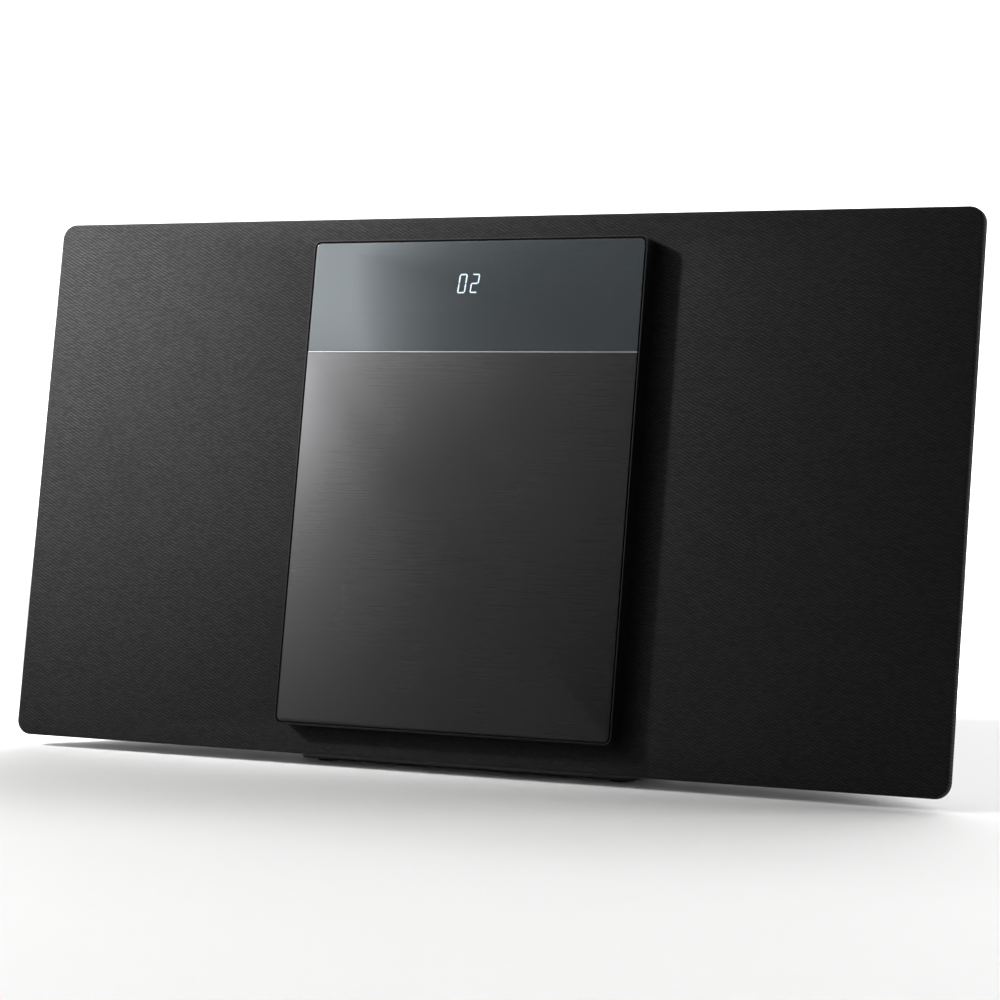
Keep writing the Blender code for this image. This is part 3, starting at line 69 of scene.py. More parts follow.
CLOTH_LOW, CLOTH_HIGH = extent("grille_cloth")
ORIGIN = LEAN @ Vector(((CLOTH_LOW.x + CLOTH_HIGH.x) / 2, CLOTH_LOW.y, CLOTH_LOW.z))
TILT = Matrix.Translation(ORIGIN) @ LEAN.to_4x4()


def local(node):
    """The node's lowest and highest corner in the leaning frame."""
    return extent(node, ORIGIN)


def leaning_points(node):
    """The node's vertices in the leaning frame."""
    inverse = TILT.inverted()
    return [inverse @ v.co for v in frame["nodes"][node].data.vertices]


FACE = local("grille_cloth")
DOOR = local("door_frame")
PANEL = local("door_panel")
WINDOW = local("door_window")
MODULE = local("display_module")


# Shapes


def rect_ring(low_x, high_x, low_z, high_z, radius, y, steps=6, top_radius=None):
    """A rounded rectangle in the plane of the face at depth y. Its top corners may have their own radius."""
    top = radius if top_radius is None else top_radius
    points = []
    corners = [
        (high_x, high_z, 0, top), (low_x, high_z, 90, top),
        (low_x, low_z, 180, radius), (high_x, low_z, 270, radius),
    ]
    for x, z, start, r in corners:
        centre_x = x - math.copysign(r, x - (low_x + high_x) / 2)
        centre_z = z - math.copysign(r, z - (low_z + high_z) / 2)
        for i in range(steps + 1):
            angle = math.radians(start + 90 * i / steps)
            points.append((centre_x + r * math.cos(angle), y, centre_z + r * math.sin(angle)))
    return points


def inset_ring(box, inset, radius, y, steps=6):
    """The outline of a box in the leaning frame, pulled in by an inset."""
    low, high = box
    inner = max(radius - inset, 0.15 * MM)
    return rect_ring(low.x + inset, high.x - inset, low.z + inset, high.z - inset, inner, y, steps)


def quarter(steps, first=0):
    """The angles of a quarter turn in equal steps."""
    return [math.pi / 2 * i / steps for i in range(first, steps + 1)]


def round_over(edge, angle):
    """How far a rounded edge stands in from its side, and how far back from its front, at an angle."""
    return edge * (1 - math.cos(angle)), edge * (1 - math.sin(angle))


def loft(rings, closed=False):
    """A skin over a row of rings, capped at both ends or joined into a loop."""
    shape = bmesh.new()
    rows = [[shape.verts.new(point) for point in ring] for ring in rings]
    pairs = list(zip(rows, rows[1:]))
    if closed:
        pairs.append((rows[-1], rows[0]))
    else:
        shape.faces.new(rows[0])
        shape.faces.new(rows[-1])
    count = len(rows[0])
    for low, high in pairs:
        for i in range(count):
            j = (i + 1) % count
            shape.faces.new((low[i], low[j], high[j], high[i]))
    return shape


def mesh_of(name, shape):
    """The bmesh as a mesh; the bmesh is freed."""
    mesh = bpy.data.meshes.new(name)
    shape.to_mesh(mesh)
    shape.free()
    return mesh


def placed(name, data):
    """A new object in the scene."""
    made = bpy.data.objects.new(name, data)
    bpy.context.scene.collection.objects.link(made)
    return made


def aimed(thing, place, target):
    """Puts a light or a panel at a place, facing a target."""
    thing.location = place
    thing.rotation_euler = (Vector(target) - Vector(place)).to_track_quat("-Z", "Y").to_euler()


def turned(profile, segments=64, closed=False):
    """A shape turned about y from (radius, y) points."""
    rings = []
    for radius, y in profile:
        turns = [2 * math.pi * i / segments for i in range(segments)]
        rings.append([(radius * math.cos(a), y, radius * math.sin(a)) for a in turns])
    return loft(rings, closed)


def rounded_profile(points, radius, steps=4):
    """Rounds the corners of an open (radius, y) profile."""
    out = [points[0]]
    for before, here, after in zip(points, points[1:], points[2:]):
        a, b, c = Vector(before), Vector(here), Vector(after)
        reach = min(radius, (a - b).length * 0.45, (c - b).length * 0.45)
        start, end = b + (a - b).normalized() * reach, b + (c - b).normalized() * reach
        for i in range(steps + 1):
            t = i / steps
            out.append(tuple((1 - t) ** 2 * start + 2 * t * (1 - t) * b + t * t * end))
    out.append(points[-1])
    return out


def new_piece(name, shape, material, body, matrix=None, stands_for=(), degrees=40):
    """Makes a piece from a bmesh in the leaning frame, or in the frame of a given matrix."""
    bmesh.ops.recalc_face_normals(shape, faces=shape.faces)
    mesh = mesh_of(name, shape)
    mesh.shade_smooth()
    mesh.set_sharp_from_angle(angle=math.radians(degrees))
    piece = placed(name, mesh)
    piece.matrix_world = TILT if matrix is None else matrix
    mesh.materials.append(material)
    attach(piece, body)
    if stands_for:
        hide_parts(*stands_for)
    return piece


def bevel(piece, width, segments=3, degrees=35):
    step = piece.modifiers.new("edges", "BEVEL")
    step.width = width
    step.segments = segments
    step.limit_method = "ANGLE"
    step.angle_limit = math.radians(degrees)
    step.harden_normals = False
    return piece


# Materials


class Look:
    """A Principled material with its colour, roughness and bump from nodes in the piece's coordinates."""

    def __init__(self, name, **settings):
        self.material = bpy.data.materials.new(name)
        self.material.use_nodes = True
        self.tree = self.material.node_tree
        self.shader = self.tree.nodes["Principled BSDF"]
        for key, value in settings.items():
            self.shader.inputs[key.replace("_", " ").title().replace("Ior", "IOR")].default_value = value
        self.place = self.node("ShaderNodeTexCoord").outputs["Object"]

    def node(self, kind, **settings):
        made = self.tree.nodes.new(kind)
        for key, value in settings.items():
            setattr(made, key, value)
        return made

    def put(self, socket, value):
        if isinstance(value, bpy.types.NodeSocket):
            self.tree.links.new(value, socket)
        else:
            socket.default_value = value

    def math(self, operation, *values):
        made = self.node("ShaderNodeMath", operation=operation)
        for socket, value in zip(made.inputs, values):
            self.put(socket, value)
        return made.outputs[0]

    def scaled(self, scale):
        made = self.node("ShaderNodeVectorMath", operation="MULTIPLY")
        self.put(made.inputs[0], self.place)
        made.inputs[1].default_value = scale
        return made.outputs[0]

    def split(self):
        made = self.node("ShaderNodeSeparateXYZ")
        self.put(made.inputs[0], self.place)
        return made.outputs

    def noise(self, scale, detail=3.0, roughness=0.55, place=None):
        made = self.node("ShaderNodeTexNoise")
        made.inputs["Scale"].default_value = scale
        made.inputs["Detail"].default_value = detail
        made.inputs["Roughness"].default_value = roughness
        self.put(made.inputs["Vector"], place or self.place)
        return made.outputs["Fac"]

    def ramp(self, value, low, high, to_low=0.0, to_high=1.0):
        made = self.node("ShaderNodeMapRange")
        for key, number in (("From Min", low), ("From Max", high), ("To Min", to_low), ("To Max", to_high)):
            made.inputs[key].default_value = number
        self.put(made.inputs["Value"], value)
        return made.outputs["Result"]

    def mix(self, share, first, second):
        made = self.node("ShaderNodeMix", data_type="RGBA")
        self.put(made.inputs["Factor"], share)
        for socket, value in ((made.inputs[6], first), (made.inputs[7], second)):
            self.put(socket, value if isinstance(value, bpy.types.NodeSocket) else (*value, 1.0))
        return made.outputs[2]

    def colour(self, value):
        self.put(self.shader.inputs["Base Color"], value)

    def rough(self, value):
        self.put(self.shader.inputs["Roughness"], value)

    def bump(self, height, strength, distance):
        made = self.node("ShaderNodeBump")
        made.inputs["Strength"].default_value = strength
        made.inputs["Distance"].default_value = distance
        self.put(made.inputs["Height"], height)
        self.put(self.shader.inputs["Normal"], made.outputs["Normal"])


def toned(base, factor):
    """A colour made lighter or darker."""
    return tuple(min(1, c * factor) for c in base)


def moulded(name, base, roughness, grain=2600.0, depth=0.06, **settings):
    """Injection-moulded plastic: a fine grain, slow waves in the gloss and faint handling marks."""
    made = Look(name, **settings)
    fine = made.noise(grain, 2.0)
    slow = made.noise(28.0, 4.0)
    marks = made.ramp(made.noise(9.0, 6.0, 0.7), 0.45, 0.75)
    shade = made.math("ADD", made.math("MULTIPLY", fine, 0.35), made.math("MULTIPLY", slow, 0.35))
    made.colour(made.mix(shade, toned(base, 0.78), toned(base, 1.25)))
    gloss = made.ramp(slow, 0.3, 0.7, roughness - 0.05, roughness + 0.05)
    made.rough(made.math("ADD", gloss, made.math("MULTIPLY", marks, 0.06)))
    made.bump(fine, depth, 0.12 * MM)
    return made.material


def brushed(name, base, roughness, strength=0.16, contrast=0.3):
    """Metal with long fine scratches along the piece's x axis."""
    made = Look(name, metallic=1.0)
    along, across = 26.0, 5600.0
    longer, coarser = 1.7, 0.42
    hair = made.noise(1.0, 3.0, 0.6, made.scaled((along, across, across)))
    band = made.noise(1.0, 3.0, 0.6, made.scaled((along * longer, across * coarser, across * coarser)))
    slow = made.noise(12.0, 3.0)
    grain = made.math("ADD", made.math("MULTIPLY", hair, 0.6), made.math("MULTIPLY", band, 0.4))
    made.colour(made.mix(made.ramp(grain, 0.3, 0.7), toned(base, 1 - contrast), toned(base, 1 + contrast)))
    gloss = made.ramp(grain, 0.3, 0.7, roughness - 0.08 * contrast * 3, roughness + 0.1 * contrast * 3)
    made.rough(made.math("ADD", gloss, made.ramp(slow, 0.3, 0.7, -0.03, 0.03)))
    made.bump(grain, strength, 0.05 * MM)
    return made.material


def twill(name):
    """Speaker cloth in a fine twill: weft floats in steps, so that diagonal ribs run down to the right. Each
    float is painted darker toward its ends and sides, as painted shade between the yarns, on top of the
    yarns' own uneven tone.
    """
    made = Look(name, specular_ior_level=0.12, sheen_weight=0.03, sheen_roughness=0.5)
    across, up = 0.80 * MM, 0.42 * MM
    wobble = made.math("MULTIPLY", made.math("SUBTRACT", made.noise(90.0, 2.0), 0.5), 0.5)
    x, _, z = made.split()
    a = made.math("ADD", made.math("DIVIDE", x, across), made.math("MULTIPLY", wobble, 0.7))
    b = made.math("ADD", made.math("DIVIDE", z, up), wobble)
    cell_b = made.math("FLOOR", b)
    # the place along a float of two yarns, which steps by one yarn at each row
    along = made.math("FRACT", made.math("DIVIDE", made.math("ADD", a, cell_b), 3.0))
    over = made.math("SINE", made.math("MULTIPLY", along, math.pi))
    across_yarn = made.math("SINE", made.math("MULTIPLY", made.math("FRACT", b), math.pi))
    # rib: the rounded profile of each float; it shapes the bump and also paints shade into the colour between
    # the yarns
    rib = made.math("MULTIPLY", made.math("POWER", over, 0.7), made.math("POWER", across_yarn, 0.6))
    yarn = made.node("ShaderNodeTexWhiteNoise", noise_dimensions="2D")
    pair = made.node("ShaderNodeCombineXYZ")
    made.put(pair.inputs[0], made.math("FLOOR", made.math("DIVIDE", made.math("ADD", a, cell_b), 3.0)))
    made.put(pair.inputs[1], cell_b)
    made.put(yarn.inputs["Vector"], pair.outputs[0])
    uneven = made.math("ADD", made.math("MULTIPLY", yarn.outputs["Value"], 0.5), 0.6)
    fuzz = made.noise(5200.0, 2.0)
    slow = made.ramp(made.noise(14.0, 3.0), 0.3, 0.7, 0.9, 1.1)
    yarn_shade_and_tone = made.math("MULTIPLY", made.math("MULTIPLY", rib, uneven), slow)
    # the colour: near black where rib falls off, which is painted shade between the yarns, times the yarns'
    # own uneven tone
    made.colour(made.mix(made.ramp(yarn_shade_and_tone, 0.12, 0.95), (0.0003, 0.00028, 0.00033), (0.0122, 0.0113, 0.0121)))
    made.rough(made.ramp(yarn_shade_and_tone, 0.0, 1.0, 0.95, 0.68))
    height = made.math("ADD", yarn_shade_and_tone, made.math("MULTIPLY", fuzz, 0.25))
    made.bump(height, 0.6, 0.18 * MM)
    return made.material


def smoked_acrylic(name):
    """Dark polished acrylic: a mirror-like front with only slow changes of tint and gloss."""
    made = Look(name, transmission_weight=0.85, ior=1.47, specular_tint=(0.84, 0.94, 1.0, 1.0))
    slow = made.noise(22.0, 2.0)
    made.colour(made.mix(slow, (0.022, 0.025, 0.027), (0.028, 0.031, 0.034)))
    made.rough(made.ramp(slow, 0.3, 0.7, 0.035, 0.055))
    made.bump(slow, 0.004, 0.02 * MM)
    return made.material


def soft_rubber(name, base):
    """Matt rubber with a fine uneven surface."""
    made = Look(name, specular_ior_level=0.3)
    fine = made.noise(1500.0, 4.0)
    made.colour(made.mix(fine, toned(base, 0.7), toned(base, 1.5)))
    made.rough(made.ramp(fine, 0.3, 0.7, 0.75, 0.92))
    made.bump(fine, 0.15, 0.1 * MM)
    return made.material


def glowing(name, tint, strength):
    """Lit display segments: a bright core with a slightly uneven phosphor."""
    made = Look(name, roughness=0.4)
    speck = made.noise(4000.0, 2.0)
    lit = made.mix(speck, toned(tint, 0.85), tint)
    made.colour(lit)
    made.put(made.shader.inputs["Emission Color"], lit)
    made.shader.inputs["Emission Strength"].default_value = strength
    made.rough(made.ramp(speck, 0.3, 0.7, 0.3, 0.5))
    return made.material


CLOTH = twill("speaker twill")
BLACK = moulded("black moulded plastic", (0.012, 0.012, 0.013), 0.46)
RIM_BLACK = moulded("door rim", (0.004, 0.004, 0.0045), 0.62, specular_ior_level=0.12)
GLOSSY_BLACK = moulded("glossy black plastic", (0.008, 0.008, 0.009), 0.2, 900.0, 0.02)
DECK = moulded("deck plastic", (0.02, 0.02, 0.022), 0.34, 1900.0, 0.05)
BRUSHED_DARK = brushed("brushed dark metal", (0.0185, 0.0185, 0.019), 0.27, strength=0.012, contrast=0.05)
# a much lighter copy of the door's dark metal: painted highlight on the edge where the window meets the metal
EDGE_HIGHLIGHT_METAL = brushed("edge metal with painted highlight", (0.14, 0.14, 0.145), 0.3, strength=0.02, contrast=0.1)
ALUMINIUM = brushed("drawn aluminium", (0.55, 0.56, 0.58), 0.38)
STEEL = brushed("bright steel", (0.5, 0.5, 0.51), 0.24, strength=0.08)
PRESSED = brushed("pressed steel", (0.34, 0.34, 0.35), 0.42, strength=0.1)
WINDOW_LOOK = smoked_acrylic("smoked acrylic")
PAINT = moulded("stand paint", (0.01, 0.01, 0.011), 0.38, 3200.0, 0.1)
NYLON = moulded("white nylon", (0.62, 0.62, 0.59), 0.4, 1400.0, 0.04)
BOARD = moulded("circuit board", (0.02, 0.12, 0.05), 0.35, 700.0, 0.1)
PAPER = moulded("cone paper", (0.03, 0.03, 0.03), 0.85, 1300.0, 0.5)
FERRITE = moulded("ferrite", (0.05, 0.05, 0.052), 0.6, 1500.0, 0.3)
RUBBER = soft_rubber("rubber", (0.02, 0.02, 0.02))
LENS = Look("lens glass", transmission_weight=0.8, ior=1.5)
LENS.colour(LENS.mix(LENS.noise(300.0), (0.5, 0.6, 0.8), (0.62, 0.7, 0.9)))
LENS.rough(LENS.ramp(LENS.noise(500.0), 0.3, 0.7, 0.02, 0.06))
SEGMENT = glowing("lit segment", (0.78, 0.92, 1.0), 75)
SLOT_LOOKS = {
    "cloth": CLOTH, "black_plastic": BLACK, "deck_plastic": DECK, "brushed_dark_metal": BRUSHED_DARK,
    "smoked_window": WINDOW_LOOK, "display_glass": GLOSSY_BLACK, "white_nylon": NYLON, "bright_steel": STEEL,
    "pressed_steel": PRESSED, "stand_paint": PAINT, "aluminium": ALUMINIUM, "circuit_board": BOARD,
    "cone_paper": PAPER, "rubber": RUBBER, "ferrite": FERRITE, "lens_glass": LENS.material,
}


def coat(node, material):
    """Gives a CAD node one material."""
    materials = frame["nodes"][node].data.materials
    materials.clear()
    materials.append(material)


def dress_nodes():
    """Gives every CAD node the detailed material of its slot."""
    for part in frame["record"]["subparts"]:
        coat(part["node"], SLOT_LOOKS[part["material_slot"]])


dress_nodes()


# The face


def plate(box, low_radius, high_radius, edge, edge_steps=3):
    """A flat plate filling a box, with its front edge rounded."""
    low, high = box
    profile = [(0.0, high.y)]
    for angle in quarter(edge_steps):
        inset, drop = round_over(edge, angle)
        profile.append((inset, low.y + drop))
    rings = []
    for inset, y in profile:
        bottom, top = (max(r - inset, 0.1 * MM) for r in (low_radius, high_radius))
        sides = (low.x + inset, high.x - inset, low.z + inset, high.z - inset)
        rings.append(rect_ring(*sides, bottom, y, top_radius=top))
    return loft(rings)


def make_cloth():
    """The cloth as one thin skin: over the face, round its edges and into the door's opening."""
    edge, corner, skin = 1.2 * MM, 6 * MM, 0.6 * MM
    low, high = FACE
    wrap_back = high.y
    half_opening, opening_low, opening_high = OPENING
    rings = [inset_ring(FACE, 0, corner, wrap_back, 10)]
    for angle in quarter(5):
        inset, drop = round_over(edge, angle)
        rings.append(inset_ring(FACE, inset, corner, low.y + drop, 10))
    for inset, y in ((-edge, low.y), (-0.3 * edge, low.y + 0.2 * edge), (0, low.y + edge), (0, wrap_back)):
        box = (-half_opening + inset, half_opening - inset, opening_low + inset, opening_high - inset)
        rings.append(rect_ring(*box, 2 * MM - inset * 0.5, y, 10))
    for inset, y in ((-skin, wrap_back), (-skin, low.y + skin)):
        box = (-half_opening + inset, half_opening - inset, opening_low + inset, opening_high - inset)
        rings.append(rect_ring(*box, 2 * MM, y, 10))
    for y in (low.y + 2 * skin, wrap_back):
        rings.append(inset_ring(FACE, skin, corner, y, 10))
    return new_piece(
        "cloth_cover", loft(rings, closed=True), CLOTH, "housing", stands_for=("grille_cloth",),
    )


def opening_of_cloth():
    """The cloth's opening for the door: its half width, bottom and top, from the cloth's inner corners."""
    reach, hem = 1 * MM, 5 * MM
    right, top = DOOR[1].x + reach, DOOR[1].z + reach
    inner = [p for p in leaning_points("grille_cloth") if abs(p.x) < right and FACE[0].z + hem < p.z < top]
    return max(abs(p.x) for p in inner), min(p.z for p in inner), max(p.z for p in inner)


OPENING = opening_of_cloth()
cloth_cover = make_cloth()


def make_door_frame():
    """The door's shell: a thin rim round the window and panel, a wall, and a web behind the display."""
    rim, edge, corner, wall, web = 0.6 * MM, 0.28 * MM, 3 * MM, 1.4 * MM, 1.2 * MM
    low, high = DOOR
    seat = low.y + 1.4 * MM
    rings = [inset_ring(DOOR, 0, corner, high.y)]
    for angle in quarter(3):
        inset, drop = round_over(edge, angle)
        rings.append(inset_ring(DOOR, inset, corner, low.y + drop))
    for angle in quarter(3):
        drop, back = round_over(edge, angle)
        rings.append(inset_ring(DOOR, rim - back, corner, low.y + drop))
    rings.append(inset_ring(DOOR, rim, corner, seat))
    half_x, low_z, high_z = WEB_HOLE
    for y in (seat, seat + web):
        rings.append(rect_ring(-half_x, half_x, low_z, high_z, 1 * MM, y))
    rings.append(inset_ring(DOOR, wall, corner, seat + web))
    rings.append(inset_ring(DOOR, wall, corner, high.y))
    new_piece(
        "door_shell", loft(rings, closed=True), RIM_BLACK, "door",
        stands_for=("door_frame",),
    )


WEB_HOLE = (54.5 * MM, 173.6 * MM, 196.4 * MM)      # half width, bottom and top of the hole for the display
make_door_frame()
new_piece(
    "door_skin", plate(PANEL, 2.2 * MM, 0.25 * MM, 0.22 * MM), BRUSHED_DARK, "door",
    stands_for=("door_panel",),
)
new_piece(
    "door_glazing", plate(WINDOW, 0.25 * MM, 2.2 * MM, 0.25 * MM), WINDOW_LOOK, "door",
    stands_for=("door_window",),
)


def make_joint_line():
    """The half-round polished edge where the window meets the metal, as wide as the metal. Its metal is a
    much lighter copy of the door's dark brushed metal, a painted highlight.
    """
    reach, steps = 0.42 * MM, 8
    middle, front = (PANEL[1].z + WINDOW[0].z) / 2, PANEL[0].y
    shape = bmesh.new()
    rows = []
    for x in (PANEL[0].x + 0.2 * MM, PANEL[1].x - 0.2 * MM):
        row = []
        for i in range(steps + 1):
            angle = math.pi * i / steps
            depth = front + reach * (1.02 - math.sin(angle))
            row.append(shape.verts.new((x, depth, middle + reach * math.cos(angle))))
        rows.append(row)
    for i in range(steps + 1):
        j = (i + 1) % (steps + 1)
        shape.faces.new((rows[0][i], rows[0][j], rows[1][j], rows[1][i]))
    shape.faces.new(rows[0])
    shape.faces.new(rows[1])
    # the lighter metal of this edge is painted highlight
    new_piece("window_edge", shape, EDGE_HIGHLIGHT_METAL, "door")


make_joint_line()


# The display behind the window

SEGMENTS = {"0": "abcdef", "2": "abged"}


def segment_ends(width, height):
    """The two ends of each of the seven strokes, in a cell with its corner at zero."""
    middle = height / 2
    return {
        "a": ((0, height), (width, height)), "b": ((width, height), (width, middle)),
        "c": ((width, middle), (width, 0)), "d": ((0, 0), (width, 0)), "e": ((0, 0), (0, middle)),
        "f": ((0, middle), (0, height)), "g": ((0, middle), (width, middle)),
    }


def make_digits(text, centre, cell, pitch, stroke, slant, depth):
    """Slanted seven-stroke numerals lying on the display's glass."""
    shape = bmesh.new()
    width, height = cell
    start = centre[0] - (pitch * (len(text) - 1) + width) / 2
    for place, letter in enumerate(text):
        for name in SEGMENTS[letter]:
            a, b = (Vector((*end, 0)) for end in segment_ends(width, height)[name])
            run = (b - a).normalized()
            side = Vector((-run.y, run.x, 0)) * stroke / 2
            a, b = a + run * stroke * 0.15, b - run * stroke * 0.15
            nib = run * stroke * 0.5
            outline = [a, a + nib + side, b - nib + side, b, b - nib - side, a + nib - side]
            ring = []
            for p in outline:
                x = start + place * pitch + p.x + (p.y - height / 2) * slant
                ring.append((x, centre[1] + p.y - height / 2))
            rows = [[shape.verts.new((x, y, z)) for x, z in ring] for y in depth]
            shape.faces.new(rows[0])
            shape.faces.new(rows[1])
            for i in range(6):
                j = (i + 1) % 6
                shape.faces.new((rows[0][i], rows[0][j], rows[1][j], rows[1][i]))
    return shape


def make_display():
    """The numerals and the thin frame round the display, just in front of its glass."""
    front = MODULE[0].y
    digits = make_digits(
        "02", (-3.5 * MM, 184.7 * MM), (2.9 * MM, 7.0 * MM), 5.4 * MM, 0.48 * MM, 0.1,
        (front - 0.12 * MM, front - 0.02 * MM),
    )
    new_piece("display_numerals", digits, SEGMENT, "door")
    half_x, low_z, high_z = WEB_HOLE
    rim = 0.4 * MM
    rings = []
    for inset in (0.0, rim):
        for y in (front - 0.1 * MM, front - 0.02 * MM):
            rings.append(rect_ring(-half_x + inset, half_x - inset, low_z + inset, high_z - inset, 1 * MM, y))
    rings = [rings[0], rings[2], rings[3], rings[1]]
    new_piece("display_border", loft(rings, closed=True), BORDER, "door")


BORDER = moulded("display border", (0.03, 0.04, 0.038), 0.3, 900.0, 0.02)
DISPLAY_GLASS = moulded("display glass", (0.010, 0.016, 0.015), 0.18, 900.0, 0.01)
coat("display_module", DISPLAY_GLASS)
make_display()


# Solid helpers for the back, the stand and the deck


def trimmed(shape, cutters, name):
    """The shape as a mesh with the cutters taken out of it."""
    def thing(label, source):
        bmesh.ops.recalc_face_normals(source, faces=source.faces)
        return placed(label, mesh_of(label, source))

    body = thing(name, shape)
    tools = [thing(f"{name} tool {i}", cutter) for i, cutter in enumerate(cutters)]
    for tool in tools:
        step = body.modifiers.new("cut", "BOOLEAN")
        step.operation = "DIFFERENCE"
        step.solver = "EXACT"
        step.object = tool
    bpy.context.view_layer.update()
    evaluated = body.evaluated_get(bpy.context.evaluated_depsgraph_get())
    result = bmesh.new()
    result.from_mesh(bpy.data.meshes.new_from_object(evaluated))
    for made in (body, *tools):
        bpy.data.objects.remove(made)
    return result


def block(x, y, z):
    """A box between pairs of limits."""
    corners = ((x[0], z[0]), (x[1], z[0]), (x[1], z[1]), (x[0], z[1]))
    return loft([[(across, depth, up) for across, up in corners] for depth in y])


def shifted(shape, x, y, z):
    """The shape, moved."""
    bmesh.ops.translate(shape, vec=(x, y, z), verts=shape.verts)
    return shape


def join_shapes(first, second):
    """Adds the second bmesh to the first."""
    scratch = mesh_of("scratch", second)
    first.from_mesh(scratch)
    bpy.data.meshes.remove(scratch)
    return first


def middle_of(node):
    """The middle of the node's box in the leaning frame."""
    low, high = local(node)
    return (low + high) / 2


def refined(node, name, material, width, body="housing", degrees=30):
    """A copy of a CAD node's shape with its facets merged and its edges rounded."""
    inverse = TILT.inverted()
    shape = bmesh.new()
    shape.from_mesh(frame["nodes"][node].data)
    bmesh.ops.transform(shape, matrix=inverse, verts=shape.verts)
    bmesh.ops.remove_doubles(shape, verts=shape.verts, dist=0.005 * MM)
    bmesh.ops.dissolve_limit(shape, angle_limit=math.radians(1), verts=shape.verts, edges=shape.edges)
    piece = new_piece(name, shape, material, body, stands_for=(node,), degrees=degrees)
    return bevel(piece, width, 2, degrees) if width else piece


# The rear shell


def shell_stations():
    """Depth, half width, bottom, top and corner radius of the CAD shell's outer rings."""
    rings = {}
    for p in leaning_points("rear_cabinet"):
        rings.setdefault(round(p.y, 4), []).append(p)
    found = []
    for depth, points in sorted(rings.items()):
        half = max(p.x for p in points)
        top, bottom = max(p.z for p in points), min(p.z for p in points)
        flat = max(p.z for p in points if p.x > half - 0.05 * MM)
        found.append((depth, half, bottom, top, max(top - flat, 2 * MM)))
    outer = []
    for station in reversed(found):
        if not outer or (station[1] > outer[-1][1] + 0.5 * MM and station[3] > outer[-1][3] + 0.5 * MM):
            outer.append(station)
    return list(reversed(outer))


def eased(stations, per_span=6):
    """The stations with rings between them on a smooth curve that never overshoots."""
    out = []
    for i in range(len(stations) - 1):
        a, b = stations[i], stations[i + 1]
        before = stations[max(i - 1, 0)]
        after = stations[min(i + 2, len(stations) - 1)]
        for step in range(per_span):
            t = step / per_span
            row = []
            for k in range(5):
                width = b[0] - a[0]
                slope_a = (b[k] - before[k]) / max(b[0] - before[0], 1e-9)
                slope_b = (after[k] - a[k]) / max(after[0] - a[0], 1e-9)
                chord = (b[k] - a[k]) / width
                ends = [chord + 0.45 * (s - chord) for s in (slope_a, slope_b)]
                h = (2 * t**3 - 3 * t**2 + 1, t**3 - 2 * t**2 + t, -2 * t**3 + 3 * t**2, t**3 - t**2)
                row.append(h[0] * a[k] + h[1] * width * ends[0] + h[2] * b[k] + h[3] * width * ends[1])
            out.append(tuple(row))
    out.append(stations[-1])
    return out


def make_rear_shell():
    """The tapered rear shell with its vents, socket holes and screws."""
    wall, gap, edge = 2.5 * MM, 0.3 * MM, 1.6 * MM
    stations = shell_stations()
    back = stations[-1][0]
    rows = eased(stations)
    outside = [rect_ring(-h, h, low, high, r, y, 10) for y, h, low, high, r in rows[:-1]]
    depth, half, low, high, radius = rows[-1]
    for angle in quarter(4, 1):
        inset, drop = round_over(edge, angle)
        sides = (-half + inset, half - inset, low + inset, high - inset)
        outside.append(rect_ring(*sides, radius - inset, depth - drop, 10))
    inside = []
    for y, h, low, high, r in reversed(rows[:-2]):
        sides = (-h + wall, h - wall, low + wall, high - wall)
        inside.append(rect_ring(*sides, max(r - wall, 1.5 * MM), min(y, back - wall), 10))
    shell = loft(inside + outside)
    through = (back - 2 * wall, back + wall)
    cutters = []
    panel_low, panel_high = local("control_panel")
    cutters.append(block(
        (panel_low.x - gap, panel_high.x + gap), (panel_low.y - gap, panel_high.y + gap),
        (panel_low.z, panel_high.z + 20 * MM),
    ))
    sink_low, sink_high = local("heat_sink")
    slots, pitch, slot_half = 9, 9 * MM, 1.5 * MM
    for number in range(slots):
        x = (number - (slots - 1) / 2) * pitch
        rings = [
            rect_ring(x - slot_half, x + slot_half, sink_low.z, sink_high.z - 7 * MM, 1.45 * MM, y, 6)
            for y in through
        ]
        cutters.append(loft(rings))
    for node in ("aux_socket", "headphone_socket", "antenna_socket"):
        spot_at = middle_of(node)
        cutters.append(shifted(turned([(4.3 * MM, y) for y in through], 40), spot_at.x, 0, spot_at.z))
    inlet = middle_of("power_inlet")
    cutters.append(block(
        (inlet.x - 10.8 * MM, inlet.x + 10.8 * MM), through, (inlet.z - 6.3 * MM, inlet.z + 6.3 * MM),
    ))
    for node in ("stand_screw_left", "stand_screw_right"):
        at = middle_of(node)
        cutters.append(shifted(turned([(1.8 * MM, y) for y in through], 24), at.x, 0, at.z))
    screws = [(x, z) for x in (-133 * MM, 133 * MM) for z in (32 * MM, 178 * MM)]
    for x, z in screws:
        profile = [(3.9 * MM, back - 1.2 * MM), (3.9 * MM, back + wall)]
        cutters.append(shifted(turned(profile, 40), x, 0, z))
    shell = trimmed(shell, cutters, "shell")
    piece = new_piece(
        "rear_shell", shell, BLACK, "housing", stands_for=("rear_cabinet",), degrees=32,
    )
    bevel(piece, 0.35 * MM, 2, 40)
    for number, (x, z) in enumerate(screws):
        head = screw_head(3.2 * MM, 1.3 * MM)
        matrix = TILT @ Matrix.Translation((x, back - 1.15 * MM, z)) @ Matrix.Rotation(0.5 + number, 4, "Y")
        new_piece(f"shell_screw_{number + 1}", head, STEEL, "housing", matrix)


def screw_head(radius, height):
    """A domed screw head with a cross recess, its back at y = 0 and its dome toward +y."""
    profile = [(radius * 0.3, 0), (radius, 0), (radius, height * 0.35)]
    for angle in quarter(6, 1):
        profile.append((radius * math.cos(angle) + 0.02 * MM, height * (0.35 + 0.65 * math.sin(angle))))
    arm, bar = radius * 0.58, radius * 0.15
    deep = (height * 0.45, height * 2)
    cutters = [block((-arm, arm), deep, (-bar, bar)), block((-bar, bar), deep, (-arm, arm))]
    return trimmed(turned(profile, 48), cutters, "head")


make_rear_shell()

